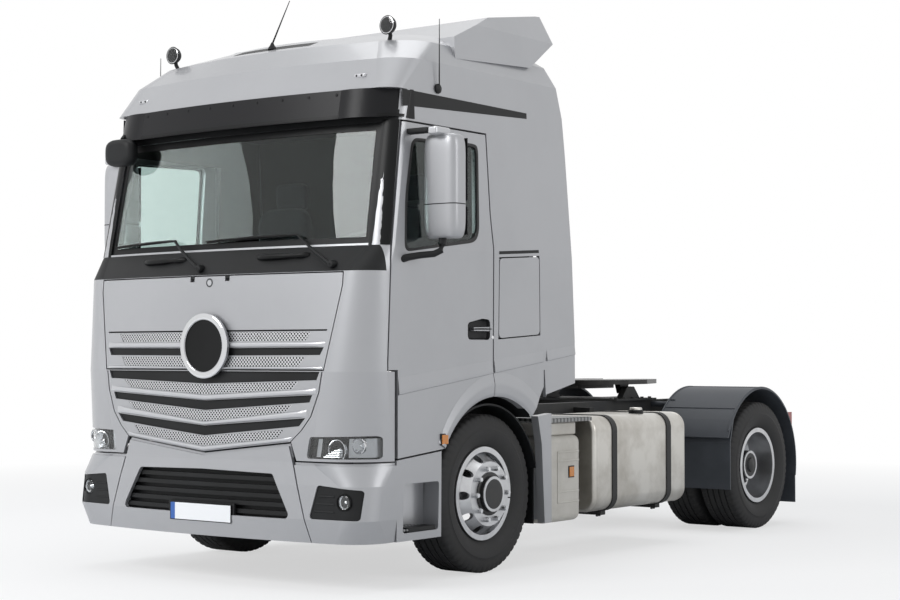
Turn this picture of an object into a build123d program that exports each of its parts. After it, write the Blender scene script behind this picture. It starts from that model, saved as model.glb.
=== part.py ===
from build123d import *
import os
from collections import namedtuple

# A two-axle semi truck tractor unit with a high sleeper cab, in millimetres.
# +Z is up, the truck faces -Y and its left side is +X. The origin lies on the
# ground below the middle of its length and width.
# Stations named *_AT are distances behind the foremost face of the bumper.

os.makedirs("parts", exist_ok=True)

# ---------------------------------------------------------------- driving sizes
LENGTH = 5715
WHEELBASE = 3700
FRONT_OVERHANG = 1390
CAB_WIDTH = 2490
FRAME_WIDTH = 834
TYRE_RADIUS = 505
TYRE_WIDTH = 314
FRONT_TRACK = 2042
TWIN_TRACK = 1804
TWIN_SPACING = 344

HALF_CAB = CAB_WIDTH / 2
HALF_FRAME = FRAME_WIDTH / 2
NOSE = -LENGTH / 2
SIDES = (1, -1)


def behind(distance):
    """Y of a station that lies this far behind the front of the bumper."""
    return NOSE + distance


FRONT_AXLE = behind(FRONT_OVERHANG)
REAR_AXLE = FRONT_AXLE + WHEELBASE
HUB_HEIGHT = TYRE_RADIUS


def box(x0, x1, y0, y1, z0, z1, mode=Mode.ADD):
    """A box between two corners, in the part being built."""
    with Locations(((x0 + x1) / 2, (y0 + y1) / 2, (z0 + z1) / 2)):
        Box(abs(x1 - x0), abs(y1 - y0), abs(z1 - z0), mode=mode)


def side_prism(points, x0, x1, mode=Mode.ADD, round_by=0, grow=0):
    """A prism along X on a side outline of (station, height) points."""
    with BuildSketch(Plane.YZ.offset(x0)) as outline:
        with BuildLine():
            Polyline([(behind(s), z) for s, z in points], close=True)
        make_face()
        if round_by:
            fillet(outline.vertices(), round_by)
        if grow:
            offset(amount=grow, kind=Kind.INTERSECTION, mode=Mode.REPLACE)
    extrude(outline.sketch, amount=x1 - x0, mode=mode)


def front_prism(points, station0, station1, mode=Mode.ADD, round_by=0, grow=0):
    """A prism along Y on a front outline of (x, height) points."""
    with BuildSketch(Plane.XZ.offset(-behind(station0))) as outline:
        with BuildLine():
            Polyline(points, close=True)
        make_face()
        if round_by:
            fillet(outline.vertices(), round_by)
        if grow:
            offset(amount=grow, kind=Kind.INTERSECTION, mode=Mode.REPLACE)
    extrude(outline.sketch, amount=station0 - station1, mode=mode)


def wheel_cylinder(axle_y, radius, x0, x1, mode=Mode.ADD):
    """A cylinder about an axle line between two X planes."""
    with BuildSketch(Plane.YZ.offset(x0)) as disc:
        with Locations((axle_y, HUB_HEIGHT)):
            Circle(radius)
    extrude(disc.sketch, amount=x1 - x0, mode=mode)


def rod(start, end, radius, mode=Mode.ADD):
    """A round bar between two points, in the part being built."""
    axis = Vector(*end) - Vector(*start)
    with BuildSketch(Plane(origin=start, z_dir=axis)) as disc:
        Circle(radius)
    extrude(disc.sketch, amount=axis.length, mode=mode)


def keep(builder, label):
    """Name the finished solid and write it out."""
    builder.part.label = label
    export_step(builder.part, f"parts/{label}.step")


# ---------------------------------------------------------------- cab outline
CAB_FLOOR = 1290
WALL = 50
FLOOR_THICKNESS = 50
FAIRING_WALL = 25
LOWER_SKIN = 18
GLASS_SET_IN = 12
GLASS_THICKNESS = 6
BUMPER_SEAM = 762
GLASS_TOP = 2800
ROOF_BASE = 2990
REAR_LEAN = 0.081
CAB_REAR_AT = 1947
HULL_REAR_AT = 2340
DOOR_GAP = 12
PANEL_GAP = 8
ARCH_RADIUS = 620

# Plan sections of the cab's outer surface, from the bumper seam to the roof.
# set_back: centreline behind the bumper; sweep: fall-back of the front arc at
# corner_start; corner_depth: length of the rounded corner along Y.
Level = namedtuple("Level", "height set_back sweep corner_start corner_depth half_width")
CAB_LEVELS = (
    Level(BUMPER_SEAM, 28, 33, 850, 290, HALF_CAB),
    Level(CAB_FLOOR, 51, 26, 927, 206, HALF_CAB),
    Level(1885, 76, 65, 1043, 174, HALF_CAB),
    Level(2040, 183, 90, 1120, 85, HALF_CAB),
    Level(GLASS_TOP, 340, 75, 1110, 90, HALF_CAB - 30),
    Level(ROOF_BASE, 380, 75, 1100, 92, HALF_CAB - 38),
)
ROOF_LEVELS = (
    Level(ROOF_BASE, 292, 72, 1085, 110, HALF_CAB - 38),
    Level(3190, 395, 90, 1000, 190, HALF_CAB - 48),
    Level(3330, 540, 110, 880, 270, HALF_CAB - 120),
    Level(3420, 760, 120, 650, 400, HALF_CAB - 270),
)


def plan_section(level, inset, rear_at):
    """One closed plan outline at a level, drawn inwards by an inset."""
    start = level.corner_start
    front = behind(level.set_back) + inset
    shoulder = front + level.sweep
    side = level.half_width - inset
    side_y = shoulder - inset + level.corner_depth
    mid_x = start + (side - start) * 0.707
    mid_y = shoulder + (side_y - shoulder) * 0.293
    rear = behind(rear_at)
    with BuildSketch(Plane.XY.offset(level.height)) as section:
        with BuildLine():
            ThreePointArc((-start, shoulder), (0, front), (start, shoulder))
            ThreePointArc((start, shoulder), (mid_x, mid_y), (side, side_y))
            Polyline((side, side_y), (side, rear), (-side, rear), (-side, side_y))
            ThreePointArc((-side, side_y), (-mid_x, mid_y), (-start, shoulder))
        make_face()
    return section.sketch


def hull(levels, inset, rear_at=HULL_REAR_AT):
    """The cab's outer surface as one solid, drawn inwards by an inset."""
    with BuildPart() as body:
        loft([plan_section(level, inset, rear_at) for level in levels], ruled=True)
    return body.part


def skin(levels, outer_inset, inner_inset):
    """The ring of wall between two insets of the same outline."""
    with BuildPart() as body:
        add(hull(levels, outer_inset))
        add(hull(levels, inner_inset), mode=Mode.SUBTRACT)
    return body.part


def cab_rear(height):
    """Station of the cab's rear wall, which leans forward towards the top."""
    return CAB_REAR_AT - REAR_LEAN * (height - CAB_FLOOR)


OUTER = hull(CAB_LEVELS, 0)
INNER = hull(CAB_LEVELS, WALL)
CAB_SKIN = skin(CAB_LEVELS, 0, WALL)
THIN_SKIN = skin(CAB_LEVELS, 0, FAIRING_WALL)
GLASS_OUTER = hull(CAB_LEVELS[2:5], GLASS_SET_IN)
GLASS_INNER = hull(CAB_LEVELS[2:5], GLASS_SET_IN + GLASS_THICKNESS)
LOWER_LEVELS = CAB_LEVELS[:2]
LOWER_SHELL = skin(LOWER_LEVELS, 0, LOWER_SKIN)

# Side outlines as (station, height)
DOOR_OUTLINE = (
    (296, 1300), (385, 1300), (385, 776), (860, 818), (1354, 1000), (1354, 1430),
    (1359, 2070), (1334, 2280), (1313, 2788), (470, 2788), (325, 1962), (296, 1350),
)
DOOR_WINDOW = (
    (455, 2010), (1158, 2105), (1203, 2163), (1222, 2690), (1190, 2712), (560, 2690),
    (480, 2340),
)
WINDOW_ROUND = 32
HANDLE_RECESS = ((1085, 1484), (1325, 1484), (1325, 1612), (1240, 1618), (1085, 1590))
HANDLE_GRIP = ((1150, 1540), (1340, 1540), (1340, 1566), (1150, 1562))
HANDLE_DEPTH = 30
LOCKER_HATCH = ((1423, 1496), (1888, 1525), (1882, 2035), (1433, 2006))
LOWER_SIDE_PANEL = ((1366, 1000), (1366, 1372), (1935, 1418), (1935, 1180), (1850, 1058))
CAB_REGION = (
    (0, CAB_FLOOR), (cab_rear(CAB_FLOOR), CAB_FLOOR), (cab_rear(ROOF_BASE), ROOF_BASE),
    (0, ROOF_BASE),
)
FIREWALL_AT = 240
FIREWALL_THICKNESS = 30
FIREWALL_TOP = 2000
LIVING_SPACE = (
    (FIREWALL_AT + FIREWALL_THICKNESS, CAB_FLOOR + FLOOR_THICKNESS),
    (FIREWALL_AT + FIREWALL_THICKNESS, FIREWALL_TOP),
    (100, FIREWALL_TOP + 60),
    (100, ROOF_BASE),
    (cab_rear(ROOF_BASE) - WALL, ROOF_BASE),
    (cab_rear(CAB_FLOOR) - WALL, CAB_FLOOR + FLOOR_THICKNESS),
)
SERVICE_BAY = (
    (0, CAB_FLOOR + FLOOR_THICKNESS), (FIREWALL_AT, CAB_FLOOR + FLOOR_THICKNESS),
    (FIREWALL_AT, FIREWALL_TOP - 40), (0, FIREWALL_TOP - 40),
)

# Front outlines as (x, height)
FLAP_BOTTOM = 1302
FLAP_TOP = 1875
COWL_TOP = 2040
FLAP_SHOULDER = 1800
FLAP_OUTLINE = (
    (-927, FLAP_BOTTOM), (927, FLAP_BOTTOM), (1026, FLAP_SHOULDER), (1026, FLAP_TOP),
    (-1026, FLAP_TOP), (-1026, FLAP_SHOULDER),
)
COWL_OUTLINE = ((-1240, 1885), (1240, 1885), (1240, COWL_TOP), (-1240, COWL_TOP))
WINDSCREEN_OUTLINE = ((-1128, 2052), (1128, 2052), (1104, 2788), (-1104, 2788))
CORNER_PANEL_OUTLINE = (
    (936, FLAP_BOTTOM), (1260, FLAP_BOTTOM), (1260, 1885), (1035, 1885), (1035, FLAP_SHOULDER),
)
CORNER_PANEL_REAR_AT = 296 - DOOR_GAP
GRILLE_HALF = ((0, 796), (690, 872), (768, 940), (838, 1025), (894, 1167), (915, CAB_FLOOR), (0, CAB_FLOOR))
HEADLAMP_PANEL_OUTLINE = (
    (699, 872), (777, 940), (847, 1025), (903, 1167), (924, CAB_FLOOR), (1260, CAB_FLOOR),
    (1260, BUMPER_SEAM), (742, BUMPER_SEAM),
)
# Front outlines of the louvres' black gaps and of their mesh fields, as right halves.
FLAP_GAPS = (
    ((0, 1541), (940, 1541), (936, 1531), (0, 1531)),
    ((0, 1430), (922, 1434), (897, 1388), (0, 1384)),
)
FLAP_MESHES = (
    ((0, 1526), (820, 1526), (780, 1470), (0, 1470)),
    ((0, 1377), (785, 1377), (744, 1320), (0, 1316)),
)
LOWER_GAPS = (
    ((0, 1291), (902, 1291), (880, 1240), (0, 1212)),
    ((0, 1109), (851, 1152), (831, 1108), (0, 1049)),
    ((0, 954), (801, 1015), (756, 966), (0, 893)),
)
LOWER_MESHES = (
    ((0, 1209), (747, 1231), (694, 1182), (0, 1145)),
    ((0, 1045), (704, 1093), (650, 1045), (0, 980)),
    ((0, 889), (641, 943), (588, 891), (0, 830)),
)
GAP_DEPTH = 12
MESH_DEPTH = 4
HEADLAMP_PANEL_REAR_AT = 355
LENS_OUTLINE = ((815, 778), (1222, 778), (1226, 915), (838, 905))


# ---------------------------------------------------------------- cab panels
def both_sides_of_skin(wall, outline, front_view, depth_range, round_by=0):
    """Cut the same panel out of a wall on the left and on the right side."""
    with BuildPart() as panels:
        for side in SIDES:
            with BuildPart(mode=Mode.PRIVATE) as panel:
                add(wall)
                if front_view:
                    sided = [(side * x, z) for x, z in outline]
                    front_prism(sided, *depth_range, mode=Mode.INTERSECT, round_by=round_by)
                else:
                    near, far = depth_range
                    side_prism(outline, side * near, side * far, mode=Mode.INTERSECT, round_by=round_by)
            add(panel.part)
    return panels


def full_width(half):
    """A closed front outline made from its right half, from top to bottom."""
    return tuple(half) + tuple((-x, z) for x, z in reversed(half) if x)


def recess(levels, depth, outlines):
    """What is cut out of a panel's face, down to a depth, inside each outline."""
    face = skin(levels, -5, depth)
    with BuildPart() as cut:
        for half in outlines:
            with BuildPart(mode=Mode.PRIVATE) as field:
                add(face)
                front_prism(full_width(half), -20, 200, mode=Mode.INTERSECT)
            add(field.part)
    return cut.part


OUTSIDE = HALF_CAB + 20

corner_panels = both_sides_of_skin(CAB_SKIN, CORNER_PANEL_OUTLINE, True, (0, CORNER_PANEL_REAR_AT))

lower_side_panels = both_sides_of_skin(CAB_SKIN, LOWER_SIDE_PANEL, False, (HALF_CAB - 100, OUTSIDE))
with lower_side_panels:
    wheel_cylinder(FRONT_AXLE, ARCH_RADIUS, -OUTSIDE, OUTSIDE, mode=Mode.SUBTRACT)
with BuildPart() as cab_side_panels:
    add(corner_panels.part)
    add(lower_side_panels.part)
keep(cab_side_panels, "cab_side_panels")

FLAP_HINGE_AT = 84
FLAP_HINGE_HEIGHT = 1866
FLAP_PIN_RADIUS = 4
FLAP_LUG_RADIUS = 8
FLAP_LUG_WIDTH = 30
FLAP_LUGS_X = (-150, 150)
with BuildPart() as windscreen_cowl:
    add(CAB_SKIN)
    front_prism(COWL_OUTLINE, 0, CORNER_PANEL_REAR_AT, mode=Mode.INTERSECT)
    for x in FLAP_LUGS_X:
        x0, x1 = x - FLAP_LUG_WIDTH / 2, x + FLAP_LUG_WIDTH / 2
        hinge_y = behind(FLAP_HINGE_AT)
        rod((x0, hinge_y, FLAP_HINGE_HEIGHT), (x1, hinge_y, FLAP_HINGE_HEIGHT), FLAP_LUG_RADIUS)
        box(x0, x1, hinge_y - FLAP_LUG_RADIUS + 2, hinge_y + FLAP_LUG_RADIUS, FLAP_HINGE_HEIGHT, 1890)
        rod((x0, hinge_y, FLAP_HINGE_HEIGHT), (x1, hinge_y, FLAP_HINGE_HEIGHT), FLAP_PIN_RADIUS + 0.4,
            mode=Mode.SUBTRACT)
keep(windscreen_cowl, "windscreen_cowl")

# Each door turns on a pin that stands on the headlamp panel below its front corner.
DOOR_HINGE_X = HALF_CAB - 4
DOOR_HINGE_AT = 302
DOOR_PIN_RADIUS = 2.6
DOOR_BORE_RADIUS = 2.9
DOOR_PIN_TOP = CAB_FLOOR + 40
# Each locker hatch turns about a line along its top edge, which climbs rearwards. A pin on
# that line sits in a bore of the cab, ahead of the hatch.
HATCH_HINGE_X = HALF_CAB - 6
HATCH_PIN_RADIUS = 3
HATCH_BORE_RADIUS = 3.4
HATCH_PIN_AT = (1446, 1410)
HATCH_BORE_END_AT = 1405
HATCH_THICKNESS = WALL - 6


def hatch_hinge_point(side, station):
    """Where the hatch's turning line passes a station."""
    return (side * HATCH_HINGE_X, behind(station), 2014 + (station - 1657) * 29 / 449)


with BuildPart() as cab_shell:
    add(OUTER)
    side_prism(CAB_REGION, -HALF_CAB, HALF_CAB, mode=Mode.INTERSECT)
    with BuildPart(mode=Mode.PRIVATE) as rooms:
        side_prism(LIVING_SPACE, -HALF_CAB, HALF_CAB)
        side_prism(SERVICE_BAY, -HALF_CAB, HALF_CAB)
        add(INNER, mode=Mode.INTERSECT)
    add(rooms.part, mode=Mode.SUBTRACT)
    for side in SIDES:
        door_x = side * (HALF_CAB - 240)
        pocket_x = side * (HALF_CAB - WALL)
        side_prism(DOOR_OUTLINE, door_x, side * OUTSIDE, mode=Mode.SUBTRACT, grow=DOOR_GAP)
        side_prism(LOCKER_HATCH, pocket_x, side * OUTSIDE, mode=Mode.SUBTRACT, grow=PANEL_GAP)
        side_prism(LOWER_SIDE_PANEL, pocket_x, side * OUTSIDE, mode=Mode.SUBTRACT)
        rod(hatch_hinge_point(side, HATCH_PIN_AT[0]), hatch_hinge_point(side, HATCH_BORE_END_AT),
            HATCH_BORE_RADIUS, mode=Mode.SUBTRACT)
    front_prism(WINDSCREEN_OUTLINE, 100, 620, mode=Mode.SUBTRACT)
    front_prism(FLAP_OUTLINE, 0, FIREWALL_AT - 20, mode=Mode.SUBTRACT, grow=PANEL_GAP)
    add(corner_panels.part, mode=Mode.SUBTRACT)
    add(windscreen_cowl.part, mode=Mode.SUBTRACT)
keep(cab_shell, "cab_shell")

# The ring on the flap reaches down over the louvres below it.
RING_HEIGHT = 1445
RING_RADIUS = 200
RING_INNER_RADIUS = 162
RING_BOSS_RADIUS = 135
RING_FACE_AT = 18
RING_DISC_AT = 32
RING_REAR_AT = 42
with BuildPart() as flap_panel:
    add(THIN_SKIN)
    front_prism(FLAP_OUTLINE, 0, FIREWALL_AT, mode=Mode.INTERSECT)
    add(recess(CAB_LEVELS[1:3], GAP_DEPTH, FLAP_GAPS), mode=Mode.SUBTRACT)
    add(recess(CAB_LEVELS[1:3], MESH_DEPTH, FLAP_MESHES), mode=Mode.SUBTRACT)
    rod((0, behind(RING_FACE_AT), RING_HEIGHT), (0, behind(RING_REAR_AT), RING_HEIGHT), RING_RADIUS)
    chamfer(flap_panel.faces().sort_by(Axis.Y)[0].edges(), 8)
    rod((0, behind(RING_FACE_AT), RING_HEIGHT), (0, behind(RING_DISC_AT), RING_HEIGHT), RING_INNER_RADIUS,
        mode=Mode.SUBTRACT)
    rod((0, behind(RING_REAR_AT), RING_HEIGHT), (0, behind(RING_REAR_AT + 35), RING_HEIGHT), RING_BOSS_RADIUS)
    for x in FLAP_LUGS_X:
        half = FLAP_LUG_WIDTH / 2 + 4
        box(x - half, x + half, NOSE, behind(140), FLAP_HINGE_HEIGHT - 22, FLAP_TOP + 5, mode=Mode.SUBTRACT)
        rod((x - half - 20, behind(FLAP_HINGE_AT), FLAP_HINGE_HEIGHT),
            (x + half + 20, behind(FLAP_HINGE_AT), FLAP_HINGE_HEIGHT), FLAP_PIN_RADIUS)
keep(flap_panel, "flap_panel")

with BuildPart() as windscreen:
    front_prism(WINDSCREEN_OUTLINE, 100, 620)
    add(GLASS_OUTER, mode=Mode.INTERSECT)
    add(GLASS_INNER, mode=Mode.SUBTRACT)
keep(windscreen, "windscreen")

HATCH_SKIN = skin(CAB_LEVELS, 0, HATCH_THICKNESS)
for name, side in (("left", 1), ("right", -1)):
    with BuildPart() as door:
        add(CAB_SKIN)
        side_prism(DOOR_OUTLINE, side * 1000, side * OUTSIDE, mode=Mode.INTERSECT)
        wheel_cylinder(FRONT_AXLE, ARCH_RADIUS, -OUTSIDE, OUTSIDE, mode=Mode.SUBTRACT)
        side_prism(DOOR_WINDOW, side * 1000, side * OUTSIDE, mode=Mode.SUBTRACT, round_by=WINDOW_ROUND)
        hinge = (side * DOOR_HINGE_X, behind(DOOR_HINGE_AT))
        rod((*hinge, CAB_FLOOR), (*hinge, DOOR_PIN_TOP + 3), DOOR_BORE_RADIUS, mode=Mode.SUBTRACT)
        side_prism(HANDLE_RECESS, side * (HALF_CAB - HANDLE_DEPTH), side * OUTSIDE, mode=Mode.SUBTRACT,
                   round_by=28)
        side_prism(HANDLE_GRIP, side * (HALF_CAB - HANDLE_DEPTH - 2), side * (HALF_CAB - 2), round_by=10)
    keep(door, f"door_{name}")
    with BuildPart() as glass:
        side_prism(DOOR_WINDOW, side * 1000, side * OUTSIDE, round_by=WINDOW_ROUND)
        add(GLASS_OUTER, mode=Mode.INTERSECT)
        add(GLASS_INNER, mode=Mode.SUBTRACT)
    keep(glass, f"door_glass_{name}")
    with BuildPart() as hatch:
        add(HATCH_SKIN)
        side_prism(LOCKER_HATCH, side * 1000, side * OUTSIDE, mode=Mode.INTERSECT, round_by=30)
        rod(*(hatch_hinge_point(side, station) for station in HATCH_PIN_AT), HATCH_PIN_RADIUS)
    keep(hatch, f"locker_hatch_{name}")

# ---------------------------------------------------------------- roof
ROOF_TOP = ROOF_LEVELS[-1].height
ROOF_WALL = 40
ROOF_OUTER = hull(ROOF_LEVELS, 0)


def roof_region(back_off, low):
    """Side outline of the roof, ahead of the cab's leaning rear wall."""
    return (
        (0, low), (cab_rear(low) - back_off, low),
        (cab_rear(ROOF_TOP) - back_off, ROOF_TOP), (0, ROOF_TOP),
    )


with BuildPart() as roof_cap:
    add(ROOF_OUTER)
    side_prism(roof_region(0, ROOF_BASE), -HALF_CAB, HALF_CAB, mode=Mode.INTERSECT)
    with BuildPart(mode=Mode.PRIVATE) as headroom:
        with Locations((0, 0, -ROOF_WALL)):
            add(hull(ROOF_LEVELS, ROOF_WALL))
        side_prism(roof_region(ROOF_WALL, ROOF_BASE - 60), -HALF_CAB, HALF_CAB, mode=Mode.INTERSECT)
    add(headroom.part, mode=Mode.SUBTRACT)
keep(roof_cap, "roof_cap")

VISOR_LEVELS = (
    Level(2812, 245, 50, 850, 220, HALF_CAB - 26),
    Level(ROOF_BASE, 276, 55, 850, 230, HALF_CAB - 34),
)
VISOR_WALL = 14
VISOR_REAR_AT = 580
with BuildPart() as sun_visor:
    add(skin(VISOR_LEVELS, 0, VISOR_WALL))
    box(-HALF_CAB, HALF_CAB, NOSE, behind(VISOR_REAR_AT), 2700, 3100, mode=Mode.INTERSECT)
    add(OUTER, mode=Mode.SUBTRACT)
    add(ROOF_OUTER, mode=Mode.SUBTRACT)
keep(sun_visor, "sun_visor")

SPOILER_SIDE = ((1060, 3390), (1480, 3578), (2090, 3684), (2150, 3690), (2195, 3500), (1900, 3300), (1060, 3250))
SPOILER_INNER = (
    (1140, 3400), (1490, 3552), (2092, 3658), (2300, 3660), (2300, 3200), (1140, 3200),
)
SPOILER_FRONT = ((-1170, 3200), (1170, 3200), (1150, 3500), (1070, 3690), (-1070, 3690), (-1150, 3500))
SPOILER_FRONT_INNER = (
    (-1145, 3190), (1145, 3190), (1125, 3495), (1053, 3665), (-1053, 3665), (-1125, 3495),
)
with BuildPart() as roof_spoiler:
    side_prism(SPOILER_SIDE, -HALF_CAB, HALF_CAB)
    front_prism(SPOILER_FRONT, 900, 2400, mode=Mode.INTERSECT)
    with BuildPart(mode=Mode.PRIVATE) as hollow:
        side_prism(SPOILER_INNER, -HALF_CAB, HALF_CAB)
        front_prism(SPOILER_FRONT_INNER, 900, 2400, mode=Mode.INTERSECT)
    add(hollow.part, mode=Mode.SUBTRACT)
    add(ROOF_OUTER, mode=Mode.SUBTRACT)
keep(roof_spoiler, "roof_spoiler")

SIDE_FAIRING = (
    (cab_rear(1110), 1110), (1965, 1127), (2316, 1198), (2314, 1484), (2239, 2727),
    (2216, 2986), (2100, 3400), (cab_rear(3400), 3400),
)
with BuildPart() as side_fairings:
    for side in SIDES:
        with BuildPart(mode=Mode.PRIVATE) as fairing:
            add(THIN_SKIN)
            add(skin(ROOF_LEVELS, 0, FAIRING_WALL))
            side_prism(SIDE_FAIRING, side * 900, side * OUTSIDE, mode=Mode.INTERSECT)
            add(roof_spoiler.part, mode=Mode.SUBTRACT)
        add(fairing.part)
keep(side_fairings, "side_fairings")

# ---------------------------------------------------------------- lower front of the cab
TILT_AT = 222
TILT_HEIGHT = 555
# What swings past the bumper stays outside these radii about the tilt axis.
BUMPER_CLEARANCE = ((700, 900, 256), (900, 1000, 250), (1000, 1100, 239), (1100, 1260, 219))
HOUSING_SKIN = skin(LOWER_LEVELS, LOWER_SKIN, 62)
BOWL_SKIN = skin(LOWER_LEVELS, 0, 50)
LENS_SKIN = skin(LOWER_LEVELS, 3, 8)
HOUSING_OUTLINE = ((795, 764), (1260, 764), (1260, 935), (815, 925))

with BuildPart() as lower_grille:
    add(LOWER_SHELL)
    front_prism(full_width(GRILLE_HALF), 0, 300, mode=Mode.INTERSECT)
    add(recess(LOWER_LEVELS, GAP_DEPTH, LOWER_GAPS), mode=Mode.SUBTRACT)
    add(recess(LOWER_LEVELS, MESH_DEPTH, LOWER_MESHES), mode=Mode.SUBTRACT)
keep(lower_grille, "lower_grille")

headlamp_panels = both_sides_of_skin(LOWER_SHELL, HEADLAMP_PANEL_OUTLINE, True, (0, HEADLAMP_PANEL_REAR_AT))
with headlamp_panels:
    for side in SIDES:
        sided = [(side * x, z) for x, z in LENS_OUTLINE]
        front_prism(sided, 0, 320, mode=Mode.SUBTRACT, round_by=20)
        hinge = (side * DOOR_HINGE_X, behind(DOOR_HINGE_AT))
        rod((*hinge, CAB_FLOOR - 12), (*hinge, DOOR_PIN_TOP), DOOR_PIN_RADIUS)
keep(headlamp_panels, "headlamp_panels")

headlamp_lenses = both_sides_of_skin(LENS_SKIN, LENS_OUTLINE, True, (0, 320), round_by=20)
keep(headlamp_lenses, "headlamp_lenses")

headlamp_housings = both_sides_of_skin(HOUSING_SKIN, HOUSING_OUTLINE, True, (0, HEADLAMP_PANEL_REAR_AT - 15))
with headlamp_housings:
    for side in SIDES:
        sided = [(side * x, z) for x, z in LENS_OUTLINE]
        with BuildPart(mode=Mode.PRIVATE) as bowl:
            add(BOWL_SKIN)
            front_prism(sided, 0, 320, mode=Mode.INTERSECT, round_by=20)
        add(bowl.part, mode=Mode.SUBTRACT)
        for near, far, radius in BUMPER_CLEARANCE:
            rod((side * near, behind(TILT_AT), TILT_HEIGHT), (side * far, behind(TILT_AT), TILT_HEIGHT),
                radius, mode=Mode.SUBTRACT)
keep(headlamp_housings, "headlamp_housings")

# ---------------------------------------------------------------- tilt hinge of the cab
TILT_PIN_RADIUS = 24.7
TILT_BORE_RADIUS = 25
TILT_ARM_X = (482, 532)
TILT_ARM_REAR_AT = 840
with BuildPart() as tilt_arms:
    for side in SIDES:
        x0, x1 = (side * x for x in TILT_ARM_X)
        side_prism(
            ((TILT_AT + 5, TILT_HEIGHT + 45), (TILT_AT + 36, TILT_HEIGHT - 20),
             (TILT_ARM_REAR_AT + 90, CAB_FLOOR - 60), (TILT_ARM_REAR_AT + 90, CAB_FLOOR),
             (TILT_ARM_REAR_AT - 40, CAB_FLOOR)), x0, x1)
        rod((x0, behind(TILT_AT), TILT_HEIGHT), (x1, behind(TILT_AT), TILT_HEIGHT), 48)
        rod((x0, behind(TILT_AT), TILT_HEIGHT), (x1, behind(TILT_AT), TILT_HEIGHT),
            TILT_BORE_RADIUS, mode=Mode.SUBTRACT)
keep(tilt_arms, "tilt_arms")

# ---------------------------------------------------------------- bumper
BUMPER_BOTTOM = 283
BUMPER_WALL = 25
LEDGE = 15
BUMPER_REAR_AT = 378
BUMPER_LEVELS = (
    Level(BUMPER_BOTTOM, 4, 72, 1000, 240, HALF_CAB - 20),
    Level(420, 0, 66, 1080, 150, HALF_CAB - 2),
    Level(620, 14, 56, 1060, 200, HALF_CAB),
    Level(752, 28, 34, 850, 290, HALF_CAB),
    Level(880, 33, 33, 850, 285, HALF_CAB),
)
BUMPER_SKIN = skin(BUMPER_LEVELS, 0, BUMPER_WALL)
BUMPER_LEDGE_SKIN = skin(BUMPER_LEVELS, LEDGE, LEDGE + BUMPER_WALL)
CENTRE_LEDGE_HALF = ((0, 786), (683, 862), (706, 782), (0, 706))
CENTRE_LOW_HALF = ((0, 786 - LEDGE), (680, 862 - LEDGE), (857, 284), (0, 284))
CORNER_LEDGE_OUTLINE = ((742, 680), (720, 752), (1260, 752), (1260, 680))
CORNER_LOW_OUTLINE = ((863, 284), (725, 752 - LEDGE), (1260, 752 - LEDGE), (1260, 284))
OPENING_HALF = ((0, 690), (565, 680), (715, 418), (0, 418))
FOG_OPENING = ((850, 425), (1190, 425), (1200, 600), (905, 625))
BEAM_Z = (470, 570)


with BuildPart() as bumper_centre:
    with BuildPart(mode=Mode.PRIVATE) as low:
        add(BUMPER_SKIN)
        front_prism(full_width(CENTRE_LOW_HALF), -50, 300, mode=Mode.INTERSECT)
    add(low.part)
    with BuildPart(mode=Mode.PRIVATE) as ledge:
        add(BUMPER_LEDGE_SKIN)
        front_prism(full_width(CENTRE_LEDGE_HALF), -50, 300, mode=Mode.INTERSECT)
    add(ledge.part)
    front_prism(full_width(OPENING_HALF), -50, 300, mode=Mode.SUBTRACT, round_by=25)

bumper_low = both_sides_of_skin(BUMPER_SKIN, CORNER_LOW_OUTLINE, True, (-50, BUMPER_REAR_AT))
bumper_ledge = both_sides_of_skin(BUMPER_LEDGE_SKIN, CORNER_LEDGE_OUTLINE, True, (-50, BUMPER_REAR_AT))
with BuildPart() as bumper_corners:
    add(bumper_low.part)
    add(bumper_ledge.part)
    for side in SIDES:
        sided = [(side * x, z) for x, z in FOG_OPENING]
        front_prism(sided, -50, 330, mode=Mode.SUBTRACT, round_by=20)
with BuildPart() as bumper_panels:
    add(bumper_centre.part)
    add(bumper_corners.part)
keep(bumper_panels, "bumper_panels")

fog_inserts = both_sides_of_skin(skin(BUMPER_LEVELS, 8, 70), FOG_OPENING, True, (-50, 330), round_by=20)
with fog_inserts:
    for side in SIDES:
        rod((side * 1090, behind(40), 530), (side * 1090, behind(95), 530), 52, mode=Mode.SUBTRACT)

SLAT_COUNT = 5
LOUVRE_SKIN = skin(BUMPER_LEVELS[:4], BUMPER_WALL, 60)
with BuildPart() as bumper_grille:
    for index in range(SLAT_COUNT):
        low = 432 + index * 50
        half = 700 - index * 29
        with BuildPart(mode=Mode.PRIVATE) as slat:
            add(LOUVRE_SKIN)
            front_prism(((-half, low), (half, low), (half - 12, low + 26), (-half + 12, low + 26)),
                        -50, 300, mode=Mode.INTERSECT)
        add(slat.part)
    with BuildPart(mode=Mode.PRIVATE) as back:
        add(skin(BUMPER_LEVELS[:4], 60, 70))
        front_prism(full_width(((0, 715), (590, 705), (745, 395), (0, 395))), -50, 300, mode=Mode.INTERSECT)
    add(back.part)
with BuildPart() as bumper_inserts:
    add(bumper_grille.part)
    add(fog_inserts.part)
keep(bumper_inserts, "bumper_inserts")

PLATE_WIDTH = 520
PLATE_HEIGHT = 112
PLATE_BOTTOM = 368
with BuildPart() as number_plate:
    box(-PLATE_WIDTH / 2, PLATE_WIDTH / 2, NOSE + 2, NOSE + 8, PLATE_BOTTOM, PLATE_BOTTOM + PLATE_HEIGHT)
    box(-PLATE_WIDTH / 2 - 20, PLATE_WIDTH / 2 + 20, NOSE + 8, NOSE + 24, PLATE_BOTTOM - 12,
        PLATE_BOTTOM + PLATE_HEIGHT + 8)
    add(hull(BUMPER_LEVELS, 0), mode=Mode.INTERSECT)
    add(bumper_centre.part, mode=Mode.SUBTRACT)
    add(bumper_grille.part, mode=Mode.SUBTRACT)
keep(number_plate, "number_plate")

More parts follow.
